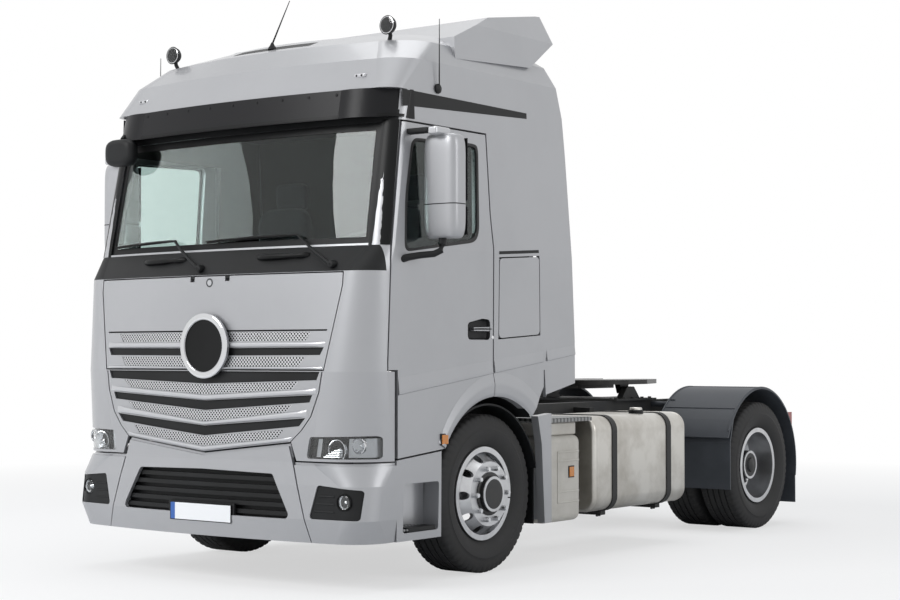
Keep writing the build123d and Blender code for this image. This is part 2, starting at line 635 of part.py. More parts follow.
# ---------------------------------------------------------------- mirrors, lamps, wipers
MIRROR_Y = (behind(560), behind(715))
MIRROR_X = (HALF_CAB + 32, HALF_CAB + 285)
MIRROR_Z = (2085, 2712)
for name, side in (("left", 1), ("right", -1)):
    with BuildPart() as mirror:
        x0, x1 = (side * x for x in MIRROR_X)
        middle_x = (x0 + x1) / 2
        wall_x = side * (HALF_CAB - 60)
        with BuildSketch(Plane.XY.offset(MIRROR_Z[0])) as head:
            with Locations((middle_x, sum(MIRROR_Y) / 2)):
                RectangleRounded(MIRROR_X[1] - MIRROR_X[0], MIRROR_Y[1] - MIRROR_Y[0], 45)
        extrude(head.sketch, amount=MIRROR_Z[1] - MIRROR_Z[0])
        box(wall_x, middle_x, behind(500), behind(570), MIRROR_Z[1] + 2, MIRROR_Z[1] + 40)
        box(middle_x - 35, middle_x + 35, behind(500), behind(660), MIRROR_Z[1] - 2, MIRROR_Z[1] + 40)
        box(wall_x, side * (HALF_CAB + 60), behind(360), behind(500), 1925, 1985)
        box(side * (HALF_CAB + 20), middle_x, behind(440), behind(600), 1960, 2010)
        box(middle_x - 35, middle_x + 35, behind(540), behind(660), 1990, MIRROR_Z[0] + 2)
        add(hull(CAB_LEVELS[2:5], 0), mode=Mode.SUBTRACT)
    keep(mirror, f"mirror_{name}")

with BuildPart() as ramp_mirror:
    box(-HALF_CAB + 70, -HALF_CAB + 340, behind(245), behind(330), 2640, 2830)
    rod((-HALF_CAB + 200, behind(300), 2780), (-HALF_CAB + 160, behind(470), 2880), 14)
    add(sun_visor.part, mode=Mode.SUBTRACT)
    add(OUTER, mode=Mode.SUBTRACT)
keep(ramp_mirror, "ramp_mirror")

ROOF_LAMP_X = 937
ANTENNA_X = 420
WHIP_AT = 822
with BuildPart() as roof_lamps:
    for side in SIDES:
        x = side * ROOF_LAMP_X
        rod((x, behind(655), 3428), (x, behind(750), 3428), 92)
        box(x - 40, x + 40, behind(390), behind(480), 3068, 3092)
        rod((side * ANTENNA_X, behind(650), 3300), (side * ANTENNA_X, behind(650), 3480), 12)
        rod((side * (HALF_CAB - 60), behind(WHIP_AT), 3026), (side * (HALF_CAB - 18), behind(WHIP_AT), 3026), 32)
        rod((side * (HALF_CAB - 25), behind(WHIP_AT), 3020), (side * (HALF_CAB - 25), behind(WHIP_AT), 3460), 5)
    add(ROOF_OUTER, mode=Mode.SUBTRACT)
keep(roof_lamps, "roof_lamps")

WIPERS = ((-420, -160, 2075), (430, 690, 2075))
with BuildPart() as wipers:
    for pivot_x, tip_x, tip_z in WIPERS:
        rod((pivot_x, behind(125), 1950), (pivot_x, behind(60), 1950), 22)
        rod((pivot_x, behind(75), 1950), (tip_x, behind(120), tip_z), 12)
        rod((tip_x - 330, behind(165), tip_z + 15), (tip_x + 330, behind(165), tip_z + 15), 9)
        rod((tip_x, behind(120), tip_z), (tip_x, behind(165), tip_z + 15), 10)
    add(OUTER, mode=Mode.SUBTRACT)
keep(wipers, "wipers")

# ---------------------------------------------------------------- cab interior
FLOOR_TOP = CAB_FLOOR + FLOOR_THICKNESS
SEAT_X = 560
with BuildPart() as seats:
    for side in SIDES:
        x0, x1 = side * SEAT_X - 250, side * SEAT_X + 250
        side_prism(((930, 1700), (1390, 1680), (1400, 1850), (925, 1870)), x0, x1, round_by=30)
        side_prism(((1330, 1800), (1430, 1790), (1500, 2400), (1400, 2420)), x0 + 15, x1 - 15, round_by=30)
        side_prism(((1425, 2395), (1500, 2385), (1520, 2590), (1440, 2600)), x0 + 110, x1 - 110, round_by=20)
        box(x0 + 60, x1 - 60, behind(1000), behind(1360), FLOOR_TOP, 1720)
keep(seats, "seats")

with BuildPart() as dashboard:
    side_prism(((270, 1480), (270, 1990), (560, 2000), (690, 1920), (700, 1800), (560, 1480)), -1150, 1150)
    add(INNER, mode=Mode.INTERSECT)

WHEEL_CENTRE = (SEAT_X, behind(755), 2035)
WHEEL_TILT = 40
with dashboard:
    with Locations(Location(WHEEL_CENTRE, (WHEEL_TILT, 0, 0))):
        Torus(215, 16)
        Cylinder(60, 40)
        Box(420, 34, 20)
        with Locations((0, 0, -110)):
            Cylinder(22, 200)
keep(dashboard, "dashboard")

BUNK_FRONT_AT = 1540
BUNK_TOP = 2050
with BuildPart() as bunk:
    with BuildPart(mode=Mode.PRIVATE) as locker:
        box(-1195, 1195, behind(BUNK_FRONT_AT), behind(BUNK_FRONT_AT + 25), FLOOR_TOP, BUNK_TOP)
        box(-1195, 1195, behind(BUNK_FRONT_AT), behind(2000), BUNK_TOP - 25, BUNK_TOP)
        box(-1180, 1180, behind(BUNK_FRONT_AT + 10), behind(2000), BUNK_TOP, BUNK_TOP + 120)
        add(rooms.part, mode=Mode.INTERSECT)
    add(locker.part)
keep(bunk, "bunk")

# ---------------------------------------------------------------- chassis frame
RAIL_TOP = 1025
RAIL_BOTTOM = 755
RAIL_WEB = 8
RAIL_FLANGE = 75
RAIL_START_AT = 430
RAIL_END_AT = 5580
CASTING = (
    (150, 470), (150, 600), (250, 640), (430, 1000), (600, 1000), (600, 760), (480, 660), (470, 520),
    (320, 470),
)
CASTING_X = (HALF_FRAME, HALF_FRAME + 53)
CROSS_MEMBERS_AT = (2480, 3000, 3600, 4060, 4800, 5520)
with BuildPart() as chassis_frame:
    for side in SIDES:
        outer = side * HALF_FRAME
        web = side * (HALF_FRAME - RAIL_WEB)
        flange = side * (HALF_FRAME - RAIL_FLANGE)
        start, end = behind(RAIL_START_AT), behind(RAIL_END_AT)
        box(web, outer, start, end, RAIL_BOTTOM, RAIL_TOP)
        box(flange, outer, start, end, RAIL_BOTTOM, RAIL_BOTTOM + RAIL_WEB)
        box(flange, outer, start, end, RAIL_TOP - RAIL_WEB, RAIL_TOP)
        x0, x1 = (side * x for x in CASTING_X)
        side_prism(CASTING, x0, x1)
        rod((x0, behind(TILT_AT), TILT_HEIGHT), (side * 540, behind(TILT_AT), TILT_HEIGHT), TILT_PIN_RADIUS)
        rod((side * 534, behind(TILT_AT), TILT_HEIGHT), (side * 546, behind(TILT_AT), TILT_HEIGHT), 36)
keep(chassis_frame, "chassis_frame")

with BuildPart() as cross_members:
    for station in CROSS_MEMBERS_AT:
        web = HALF_FRAME - RAIL_WEB
        box(-web, web, behind(station), behind(station + 60), RAIL_BOTTOM + 105, RAIL_TOP - 45)
    box(-HALF_FRAME, HALF_FRAME, behind(290), behind(430), 572, 600)
    with BuildPart(mode=Mode.PRIVATE) as beam:
        add(skin(BUMPER_LEVELS[:4], 70, 130))
        box(-1130, 1130, NOSE, behind(300), *BEAM_Z, mode=Mode.INTERSECT)
    add(beam.part)
    add(chassis_frame.part, mode=Mode.SUBTRACT)
keep(cross_members, "cross_members")

with BuildPart() as radiator:
    box(-395, 395, behind(300), behind(415), 600, 1230)
keep(radiator, "radiator")

with BuildPart() as powertrain:
    box(-330, 330, behind(570), behind(1700), 565, 1225)
    box(-230, 230, behind(1700), behind(2420), 600, 1000)
    for side in SIDES:
        box(side * 320, side * (HALF_FRAME - RAIL_WEB), behind(950), behind(1080), 790, 870)
    rod((0, behind(2400), 780), (0, REAR_AXLE - 200, 560), 62)
keep(powertrain, "powertrain")

# ---------------------------------------------------------------- front axle and steering
KINGPIN_X = 935
BOSS_Z = (440, 572)
KINGPIN_RADIUS = 24.6
BOSS_BORE_RADIUS = 25
SPRING_X = (385, 455)
BEAM_END_X = 828
with BuildPart() as front_axle:
    box(-BEAM_END_X, BEAM_END_X, FRONT_AXLE - 48, FRONT_AXLE + 48, 392, 465)
    for side in SIDES:
        x = side * KINGPIN_X
        box(side * 790, x, FRONT_AXLE - 42, FRONT_AXLE + 42, 450, 560)
        rod((x, FRONT_AXLE, BOSS_Z[0]), (x, FRONT_AXLE, BOSS_Z[1]), 50)
        rod((x, FRONT_AXLE, BOSS_Z[0]), (x, FRONT_AXLE, BOSS_Z[1]), BOSS_BORE_RADIUS, mode=Mode.SUBTRACT)
keep(front_axle, "front_axle")

with BuildPart() as suspension:
    for side in SIDES:
        x0, x1 = (side * x for x in SPRING_X)
        with BuildSketch(Plane.YZ.offset(x0)) as leaf:
            with BuildLine():
                ThreePointArc((FRONT_AXLE - 640, 640), (FRONT_AXLE, 465), (FRONT_AXLE + 640, 640))
                Line((FRONT_AXLE + 640, 640), (FRONT_AXLE + 640, 672))
                ThreePointArc((FRONT_AXLE + 640, 672), (FRONT_AXLE, 535), (FRONT_AXLE - 640, 672))
                Line((FRONT_AXLE - 640, 672), (FRONT_AXLE - 640, 640))
            make_face()
        extrude(leaf.sketch, amount=x1 - x0)
        for reach in (-640, 640):
            box(x0, x1, FRONT_AXLE + reach - 35, FRONT_AXLE + reach + 35, 625, RAIL_BOTTOM)

SPINDLE_RADIUS = 38
SPINDLE_BORE_RADIUS = 38.5
SPINDLE_END = FRONT_TRACK / 2 + 130
for name, side in (("left", 1), ("right", -1)):
    with BuildPart() as knuckle:
        x = side * KINGPIN_X
        rod((x, FRONT_AXLE, 382), (x, FRONT_AXLE, 630), KINGPIN_RADIUS)
        for low, high in ((382, 434), (578, 630)):
            rod((x, FRONT_AXLE, low), (x, FRONT_AXLE, high), 50)
            box(x, side * 1010, FRONT_AXLE - 48, FRONT_AXLE + 48, low, high)
        box(side * 992, side * 1022, FRONT_AXLE - 60, FRONT_AXLE + 60, 382, 630)
        rod((side * 1010, FRONT_AXLE, HUB_HEIGHT), (side * SPINDLE_END, FRONT_AXLE, HUB_HEIGHT), SPINDLE_RADIUS)
        box(side * 900, side * 950, FRONT_AXLE, FRONT_AXLE + 210, 384, 414)
    keep(knuckle, f"knuckle_{name}")

# ---------------------------------------------------------------- wheels
RIM_HALF = 127
RIM_SEAT = 286
NUT_CIRCLE = 167.5
HAND_HOLES = 10
HUB_BORE_END = 145


def tyre_ring(centre):
    """A tyre about the X axis, with the middle of its width at centre."""
    half = TYRE_WIDTH / 2
    with BuildSketch(Plane.XY) as profile:
        with BuildLine():
            Polyline((centre - 110, RIM_SEAT), (centre - 110, 302))
            ThreePointArc((centre - 110, 302), (centre - half, 392), (centre - 140, 484))
            Polyline((centre - 140, 484), (centre - 126, TYRE_RADIUS), (centre + 126, TYRE_RADIUS),
                     (centre + 140, 484))
            ThreePointArc((centre + 140, 484), (centre + half, 392), (centre + 110, 302))
            Polyline((centre + 110, 302), (centre + 110, RIM_SEAT), (centre - 110, RIM_SEAT))
        make_face()
    revolve(profile.sketch, Axis.X)


def rim_ring(centre, dish):
    """A rim about the X axis; its disc lies at centre + dish."""
    toward = 1 if dish > 0 else -1
    disc = centre + dish
    knee = disc - toward * 84
    with BuildSketch(Plane.XY) as profile:
        with BuildLine():
            Polyline(
                (centre - RIM_HALF, 264), (centre - RIM_HALF, 298), (centre - RIM_HALF + 14, 298),
                (centre - RIM_HALF + 14, RIM_SEAT), (centre + RIM_HALF - 14, RIM_SEAT),
                (centre + RIM_HALF - 14, 298), (centre + RIM_HALF, 298), (centre + RIM_HALF, 264),
                close=True)
        make_face()
        with BuildLine():
            Polyline(
                (disc, 100), (disc, 205), (knee, 266), (knee - toward * 16, 266),
                (disc - toward * 12, 198), (disc - toward * 12, 100), close=True)
        make_face()
    revolve(profile.sketch, Axis.X)
    start, end = sorted((disc + toward, knee - toward * 20))
    with BuildSketch(Plane.YZ.offset(start)) as holes:
        with PolarLocations(234, HAND_HOLES):
            Circle(26)
    extrude(holes.sketch, amount=end - start, mode=Mode.SUBTRACT)


def hub(inner, outer, face, bore_radius, bore_end):
    """A hub about the X axis with its nuts on the outer face of the disc."""
    rod((inner, 0, 0), (outer, 0, 0), 112)
    with BuildSketch(Plane.YZ.offset(face)) as nuts:
        with PolarLocations(NUT_CIRCLE, 10):
            RegularPolygon(17, 6)
    extrude(nuts.sketch, amount=30)
    rod((inner - 1, 0, 0), (bore_end, 0, 0), bore_radius, mode=Mode.SUBTRACT)


DISC_OFFSET = TWIN_SPACING / 2
with BuildPart() as front_tyre:
    tyre_ring(0)
with BuildPart() as twin_tyres:
    tyre_ring(DISC_OFFSET)
    tyre_ring(-DISC_OFFSET)
with BuildPart() as front_rim:
    rim_ring(0, DISC_OFFSET)
    hub(8, DISC_OFFSET + 36, DISC_OFFSET, SPINDLE_BORE_RADIUS, HUB_BORE_END)
REAR_SPINDLE_RADIUS = 60
REAR_BORE_RADIUS = 60.5
REAR_BORE_END = 190
with BuildPart() as twin_rims:
    rim_ring(DISC_OFFSET, -DISC_OFFSET)
    rim_ring(-DISC_OFFSET, DISC_OFFSET)
    hub(-230, 235, 12, REAR_BORE_RADIUS, REAR_BORE_END)

WHEELS = (
    ("front_tyre", front_tyre, FRONT_TRACK / 2, FRONT_AXLE),
    ("front_rim", front_rim, FRONT_TRACK / 2, FRONT_AXLE),
    ("rear_tyres", twin_tyres, TWIN_TRACK / 2, REAR_AXLE),
    ("rear_rims", twin_rims, TWIN_TRACK / 2, REAR_AXLE),
)
for label, wheel, x, y in WHEELS:
    for name, turn in (("left", 0), ("right", 180)):
        reach = x if name == "left" else -x
        with BuildPart() as placed:
            with Locations(Location((reach, y, HUB_HEIGHT), (0, 0, turn))):
                add(wheel.part)
        keep(placed, f"{label}_{name}")

# ---------------------------------------------------------------- rear axle
with BuildPart() as rear_axle:
    reach = TWIN_TRACK / 2 + 175
    rod((-reach, REAR_AXLE, HUB_HEIGHT), (reach, REAR_AXLE, HUB_HEIGHT), REAR_SPINDLE_RADIUS)
    rod((-560, REAR_AXLE, HUB_HEIGHT), (560, REAR_AXLE, HUB_HEIGHT), 72)
    with Locations((0, REAR_AXLE, HUB_HEIGHT)):
        Sphere(205)
    rod((0, REAR_AXLE - 260, 548), (0, REAR_AXLE, 520), 90)
    for side in SIDES:
        rod((side * 480, REAR_AXLE, HUB_HEIGHT), (side * 556, REAR_AXLE, HUB_HEIGHT), 200)
    add(powertrain.part, mode=Mode.SUBTRACT)
keep(rear_axle, "rear_axle")

BELLOWS_X = (HALF_FRAME + HALF_FRAME - RAIL_FLANGE) / 2
with suspension:
    for side in SIDES:
        x = side * BELLOWS_X
        box(x - 34, x + 34, REAR_AXLE - 480, REAR_AXLE + 480, 560, 620)
        for reach in (-410, 410):
            rod((x, REAR_AXLE + reach, 620), (x, REAR_AXLE + reach, RAIL_BOTTOM), 105)
    add(rear_axle.part, mode=Mode.SUBTRACT)
keep(suspension, "suspension")

# ---------------------------------------------------------------- steps and front wheel guards
STEP_SIDE = ((385, BUMPER_BOTTOM), (820, BUMPER_BOTTOM), (824, 802), (385, 764))
STEP_INNER_X = 905
STEP_OUTER_X = HALF_CAB - 8
with BuildPart() as entry_steps:
    for side in SIDES:
        side_prism(STEP_SIDE, side * STEP_INNER_X, side * STEP_OUTER_X)
        side_prism(((443, 330), (790, 330), (800, 622), (455, 622)), side * 1000, side * OUTSIDE,
                   mode=Mode.SUBTRACT, round_by=20)
        box(side * CASTING_X[1], side * STEP_INNER_X, behind(400), behind(450), 540, 600)
    add(chassis_frame.part, mode=Mode.SUBTRACT)
    add(cross_members.part, mode=Mode.SUBTRACT)
keep(entry_steps, "entry_steps")

GUARD_RADIUS = 562
GUARD_WALL = 12


def arch_band(axle_y, radius, wall, x0, x1, outline):
    """A curved guard about an axle, kept where it lies inside a side outline."""
    wheel_cylinder(axle_y, radius + wall, x0, x1)
    wheel_cylinder(axle_y, radius, x0, x1, mode=Mode.SUBTRACT)
    side_prism(outline, x0, x1, mode=Mode.INTERSECT)


FRONT_GUARD_REGION = ((790, 830), (790, 1200), (2100, 1200), (2100, 640), (1390, 640))
with BuildPart() as front_mudguards:
    for side in SIDES:
        x0, x1 = side * 605, side * 1176
        with BuildPart(mode=Mode.PRIVATE) as band:
            arch_band(FRONT_AXLE, GUARD_RADIUS, GUARD_WALL, x0, x1, FRONT_GUARD_REGION)
        add(band.part)
        box(side * 640, side * 1150, behind(1944), behind(1956), 270, 650)
        box(side * (HALF_FRAME - 30), side * 620, FRONT_AXLE - 30, FRONT_AXLE + 30, RAIL_TOP, 1075)
        box(side * 600, side * 620, FRONT_AXLE - 30, FRONT_AXLE + 30, 1060, 1079)
keep(front_mudguards, "front_mudguards")

# ---------------------------------------------------------------- side equipment
BATTERY_AT = (1985, 2450)
EXHAUST_AT = (1985, 2760)
BOX_X = (570, 1212)
with BuildPart() as side_boxes:
    box(BOX_X[0], BOX_X[1], behind(BATTERY_AT[0]), behind(BATTERY_AT[1]), 263, 847)
    fillet(side_boxes.edges().filter_by(Axis.Y), 45)
    box(HALF_FRAME, BOX_X[0], behind(2050), behind(2110), 760, 830)
    box(HALF_FRAME, BOX_X[0], behind(2340), behind(2400), 760, 830)
    box(-BOX_X[0], -BOX_X[1], behind(EXHAUST_AT[0]), behind(EXHAUST_AT[1]), 300, 880)
    fillet(side_boxes.edges().filter_by(Axis.Y).filter_by_position(Axis.X, -BOX_X[1], -BOX_X[0]), 60)
    box(-HALF_FRAME, -BOX_X[0], behind(2050), behind(2110), 770, 840)
    box(-HALF_FRAME, -BOX_X[0], behind(2640), behind(2700), 770, 840)
keep(side_boxes, "side_boxes")

with BuildPart() as wheel_fairings:
    for side in SIDES:
        side_prism(((1958, 277), (2040, 277), (2040, 1000), (1880, 985), (1925, 800)), side * 1180, side * 1236)
        box(side * 1130, side * 1182, behind(1956), behind(1985), 300, 640)
    add(side_boxes.part, mode=Mode.SUBTRACT)
keep(wheel_fairings, "wheel_fairings")

with BuildPart() as catwalk:
    box(-HALF_FRAME, HALF_FRAME, behind(2000), behind(2620), RAIL_TOP, RAIL_TOP + 18)
    for side in SIDES:
        box(side * 640, side * 1205, behind(2050), behind(2590), 935, 960)
        for station in (2070, 2500):
            box(side * HALF_FRAME, side * 645, behind(station), behind(station + 50), 935, 960)
keep(catwalk, "catwalk")

TANK_Z = (297, 961)
TANK_X = (565, 1225)
TANK_CORNER = 105
TANKS = (("left", 1, 2594, 3873), ("right", -1, 2870, 3873))
STRAP_WIDTH = 62
STRAP_WALL = 6
STRAP_INSET = 260


def tank_section(side, grow):
    """The rounded tank section on one side, grown by a margin."""
    middle = (side * sum(TANK_X) / 2, sum(TANK_Z) / 2)
    with Locations(middle):
        RectangleRounded(TANK_X[1] - TANK_X[0] + 2 * grow, TANK_Z[1] - TANK_Z[0] + 2 * grow, TANK_CORNER + grow)


with BuildPart() as fuel_tanks:
    for name, side, start, end in TANKS:
        with BuildSketch(Plane.XZ.offset(-behind(start))) as section:
            tank_section(side, 0)
        extrude(section.sketch, amount=start - end)
        rod((side * 1080, behind(end - 480), TANK_Z[1] - 20), (side * 1080, behind(end - 480), TANK_Z[1] + 45), 55)
keep(fuel_tanks, "fuel_tanks")

with BuildPart() as tank_straps:
    for name, side, start, end in TANKS:
        for station in (start + STRAP_INSET, end - STRAP_INSET):
            near, far = station - STRAP_WIDTH / 2, station + STRAP_WIDTH / 2
            with BuildSketch(Plane.XZ.offset(-behind(near))) as band:
                tank_section(side, STRAP_WALL)
            extrude(band.sketch, amount=near - far)
            box(side * HALF_FRAME, side * (TANK_X[0] - 4), behind(near), behind(far), 380, 990)
            box(side * (HALF_FRAME + 60), side * 1130, behind(near), behind(far), 262, TANK_Z[0] - 2)
            box(side * (HALF_FRAME + 60), side * (TANK_X[0] - 4), behind(near), behind(far), 262, 400)
    add(fuel_tanks.part, mode=Mode.SUBTRACT)
keep(tank_straps, "tank_straps")

# ---------------------------------------------------------------- fifth wheel
FIFTH_AT = 4440
FIFTH_TOP = 1190
FIFTH_PIVOT = 1112
FIFTH_PIN_RADIUS = 24.6
FIFTH_BORE_RADIUS = 25
FIFTH_EAR_X = (300, 350)
FIFTH_POST_X = (356, 410)
with BuildPart() as fifth_wheel_base:
    box(-460, 460, behind(4140), behind(4760), RAIL_TOP, RAIL_TOP + 16)
    for side in SIDES:
        x0, x1 = (side * x for x in FIFTH_POST_X)
        side_prism(((4300, 1040), (4580, 1040), (4490, 1135), (4390, 1135)), x0, x1)
        rod((side * 290, behind(FIFTH_AT), FIFTH_PIVOT), (x1, behind(FIFTH_AT), FIFTH_PIVOT), FIFTH_PIN_RADIUS)
keep(fifth_wheel_base, "fifth_wheel_base")

PLATE_HALF = 455
THROAT_HALF = 26
with BuildPart() as fifth_wheel_plate:
    with BuildSketch(Plane.XY.offset(FIFTH_TOP - 36)) as plate:
        with BuildLine():
            Line((-PLATE_HALF, behind(4620)), (-PLATE_HALF, behind(4330)))
            ThreePointArc((-PLATE_HALF, behind(4330)), (0, behind(3985)), (PLATE_HALF, behind(4330)))
            Polyline((PLATE_HALF, behind(4330)), (PLATE_HALF, behind(4620)), (330, behind(4985)),
                     (190, behind(4985)), (THROAT_HALF, behind(4620)), (-THROAT_HALF, behind(4620)),
                     (-190, behind(4985)), (-330, behind(4985)), (-PLATE_HALF, behind(4620)))
        make_face()
        with Locations((0, behind(4440))):
            Circle(THROAT_HALF, mode=Mode.SUBTRACT)
        with Locations((0, behind(4540))):
            Rectangle(THROAT_HALF * 2, 200, mode=Mode.SUBTRACT)
    extrude(plate.sketch, amount=36)
    for side in SIDES:
        x0, x1 = (side * x for x in FIFTH_EAR_X)
        side_prism(((4370, 1160), (4510, 1160), (4475, 1080), (4405, 1080)), x0, x1)
        rod((x0, behind(FIFTH_AT), FIFTH_PIVOT), (x1, behind(FIFTH_AT), FIFTH_PIVOT),
            FIFTH_BORE_RADIUS, mode=Mode.SUBTRACT)
        box(side * 60, side * 90, behind(4200), behind(4700), 1118, 1160)
    box(-PLATE_HALF - 90, -280, behind(4300), behind(4322), 1134, 1158)
keep(fifth_wheel_plate, "fifth_wheel_plate")

# ---------------------------------------------------------------- rear guards and lamps
REAR_GUARD_RADIUS = 610
REAR_GUARD_WALL = 12
REAR_GUARD_REGION = ((4300, 880), (4300, 1300), (6000, 1300), (6000, 392), (REAR_AXLE - NOSE, 392))
with BuildPart() as rear_mudguards:
    for side in SIDES:
        x0, x1 = side * 575, side * 1240
        with BuildPart(mode=Mode.PRIVATE) as band:
            arch_band(REAR_AXLE, REAR_GUARD_RADIUS, REAR_GUARD_WALL, x0, x1, REAR_GUARD_REGION)
        add(band.part)
        side_prism(((4596, 883), (4612, 883), (4558, 700), (4558, 340), (4546, 340), (4546, 703)), x0, x1)
        for station, height in ((4760, 990), (5420, 990)):
            rod((side * HALF_FRAME, behind(station), height), (side * 640, behind(station), height), 22)
            box(side * 600, side * 640, behind(station) - 20, behind(station) + 20, height, 1030)
        box(side * 600, side * 1235, behind(5692), behind(5702), 169, 392)
keep(rear_mudguards, "rear_mudguards")

with BuildPart() as tail_lamps:
    for side in SIDES:
        box(side * 860, side * 1200, behind(5590), behind(LENGTH), 775, 915)
        wheel_cylinder(REAR_AXLE, REAR_GUARD_RADIUS + REAR_GUARD_WALL, -1300, 1300, mode=Mode.SUBTRACT)
keep(tail_lamps, "tail_lamps")
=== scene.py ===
"""Looks of a two-axle tractor unit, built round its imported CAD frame.

Stations are millimetres behind the foremost face of the bumper, as in the part's
source. A shape is worked out in (x, station, height) and turned to metres in one place.
"""

import logging
import math
from dataclasses import dataclass
from enum import Enum

import bpy
import numpy as np
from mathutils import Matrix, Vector


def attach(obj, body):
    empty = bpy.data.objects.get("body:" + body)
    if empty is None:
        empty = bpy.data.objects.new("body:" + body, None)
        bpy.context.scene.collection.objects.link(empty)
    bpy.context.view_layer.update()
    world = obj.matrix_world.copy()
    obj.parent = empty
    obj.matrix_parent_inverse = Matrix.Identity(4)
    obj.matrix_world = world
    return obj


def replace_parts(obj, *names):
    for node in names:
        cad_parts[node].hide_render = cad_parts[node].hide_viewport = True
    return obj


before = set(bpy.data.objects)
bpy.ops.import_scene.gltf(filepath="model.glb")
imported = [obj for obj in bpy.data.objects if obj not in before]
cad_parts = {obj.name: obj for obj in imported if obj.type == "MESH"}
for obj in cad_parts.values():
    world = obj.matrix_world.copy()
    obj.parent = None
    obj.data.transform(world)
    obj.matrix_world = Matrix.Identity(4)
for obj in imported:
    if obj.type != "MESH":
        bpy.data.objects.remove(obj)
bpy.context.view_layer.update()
LOG = logging.getLogger("tractor")

HALF_LENGTH = 2857.5
HALF_CAB = 1245.0
FRONT_AXLE = 1390.0
REAR_AXLE = 5090.0
HUB_HEIGHT = 505.0
SHARP_DEGREES = 38.0
LEAST_RADIUS = 0.05
SIDES = (("left", 1), ("right", -1))
Array = np.ndarray
Piece = bpy.types.Object
Tree = bpy.types.NodeTree
Socket = bpy.types.NodeSocket
LEFT = np.array((1.0, 0.0, 0.0))
FORWARD = np.array((0.0, -1.0, 0.0))
UP = np.array((0.0, 0.0, 1.0))


# ------------------------------------------------------------------ materials
def linear(code: str) -> tuple[float, float, float, float]:
    """Turn an sRGB hex value such as 'A0B1C2' into a linear colour with alpha 1.

    Args:
        code: six hexadecimal digits.

    Returns:
        Red, green and blue in linear light, and alpha.
    """
    parts = (int(code[i : i + 2], 16) / 255 for i in (0, 2, 4))
    flat = (c / 12.92 if c <= 0.04045 else ((c + 0.055) / 1.055) ** 2.4 for c in parts)
    return (*flat, 1.0)


def add_node(tree: Tree, kind: str, values: dict | None = None, links: dict | None = None,
             **settings: object) -> bpy.types.Node:
    """Add one shader node.

    Args:
        tree: the node tree it goes in.
        kind: the node's type, without its ShaderNode prefix.
        values: constants by input name or index.
        links: output sockets by input name or index.
        settings: properties of the node itself.

    Returns:
        The new node.
    """
    node = tree.nodes.new(f"ShaderNode{kind}")
    for key, value in settings.items():
        setattr(node, key, value)
    for key, value in (values or {}).items():
        node.inputs[key].default_value = value
    for key, socket in (links or {}).items():
        tree.links.new(socket, node.inputs[key])
    return node


def empty_tree(owner: bpy.types.ID) -> Tree:
    """Turn the nodes of a material or a world on, and give its tree with nothing in it.

    Args:
        owner: the material or the world.

    Returns:
        The empty tree.
    """
    owner.use_nodes = True
    owner.node_tree.nodes.clear()
    return owner.node_tree


class Pattern(Enum):
    """How a surface was made, which sets the pattern that its material draws."""

    GRAIN = "moulded or painted grain"
    BRUSHED = "brushed along the truck"
    TURNED = "turned about the wheel's axle"
    HOLES_FRONT = "staggered punched holes, seen from the front"
    HOLES_TOP = "staggered punched holes, seen from above"
    WEAVE = "woven cloth"
    CLEAR = "smooth, with no pattern of its own"


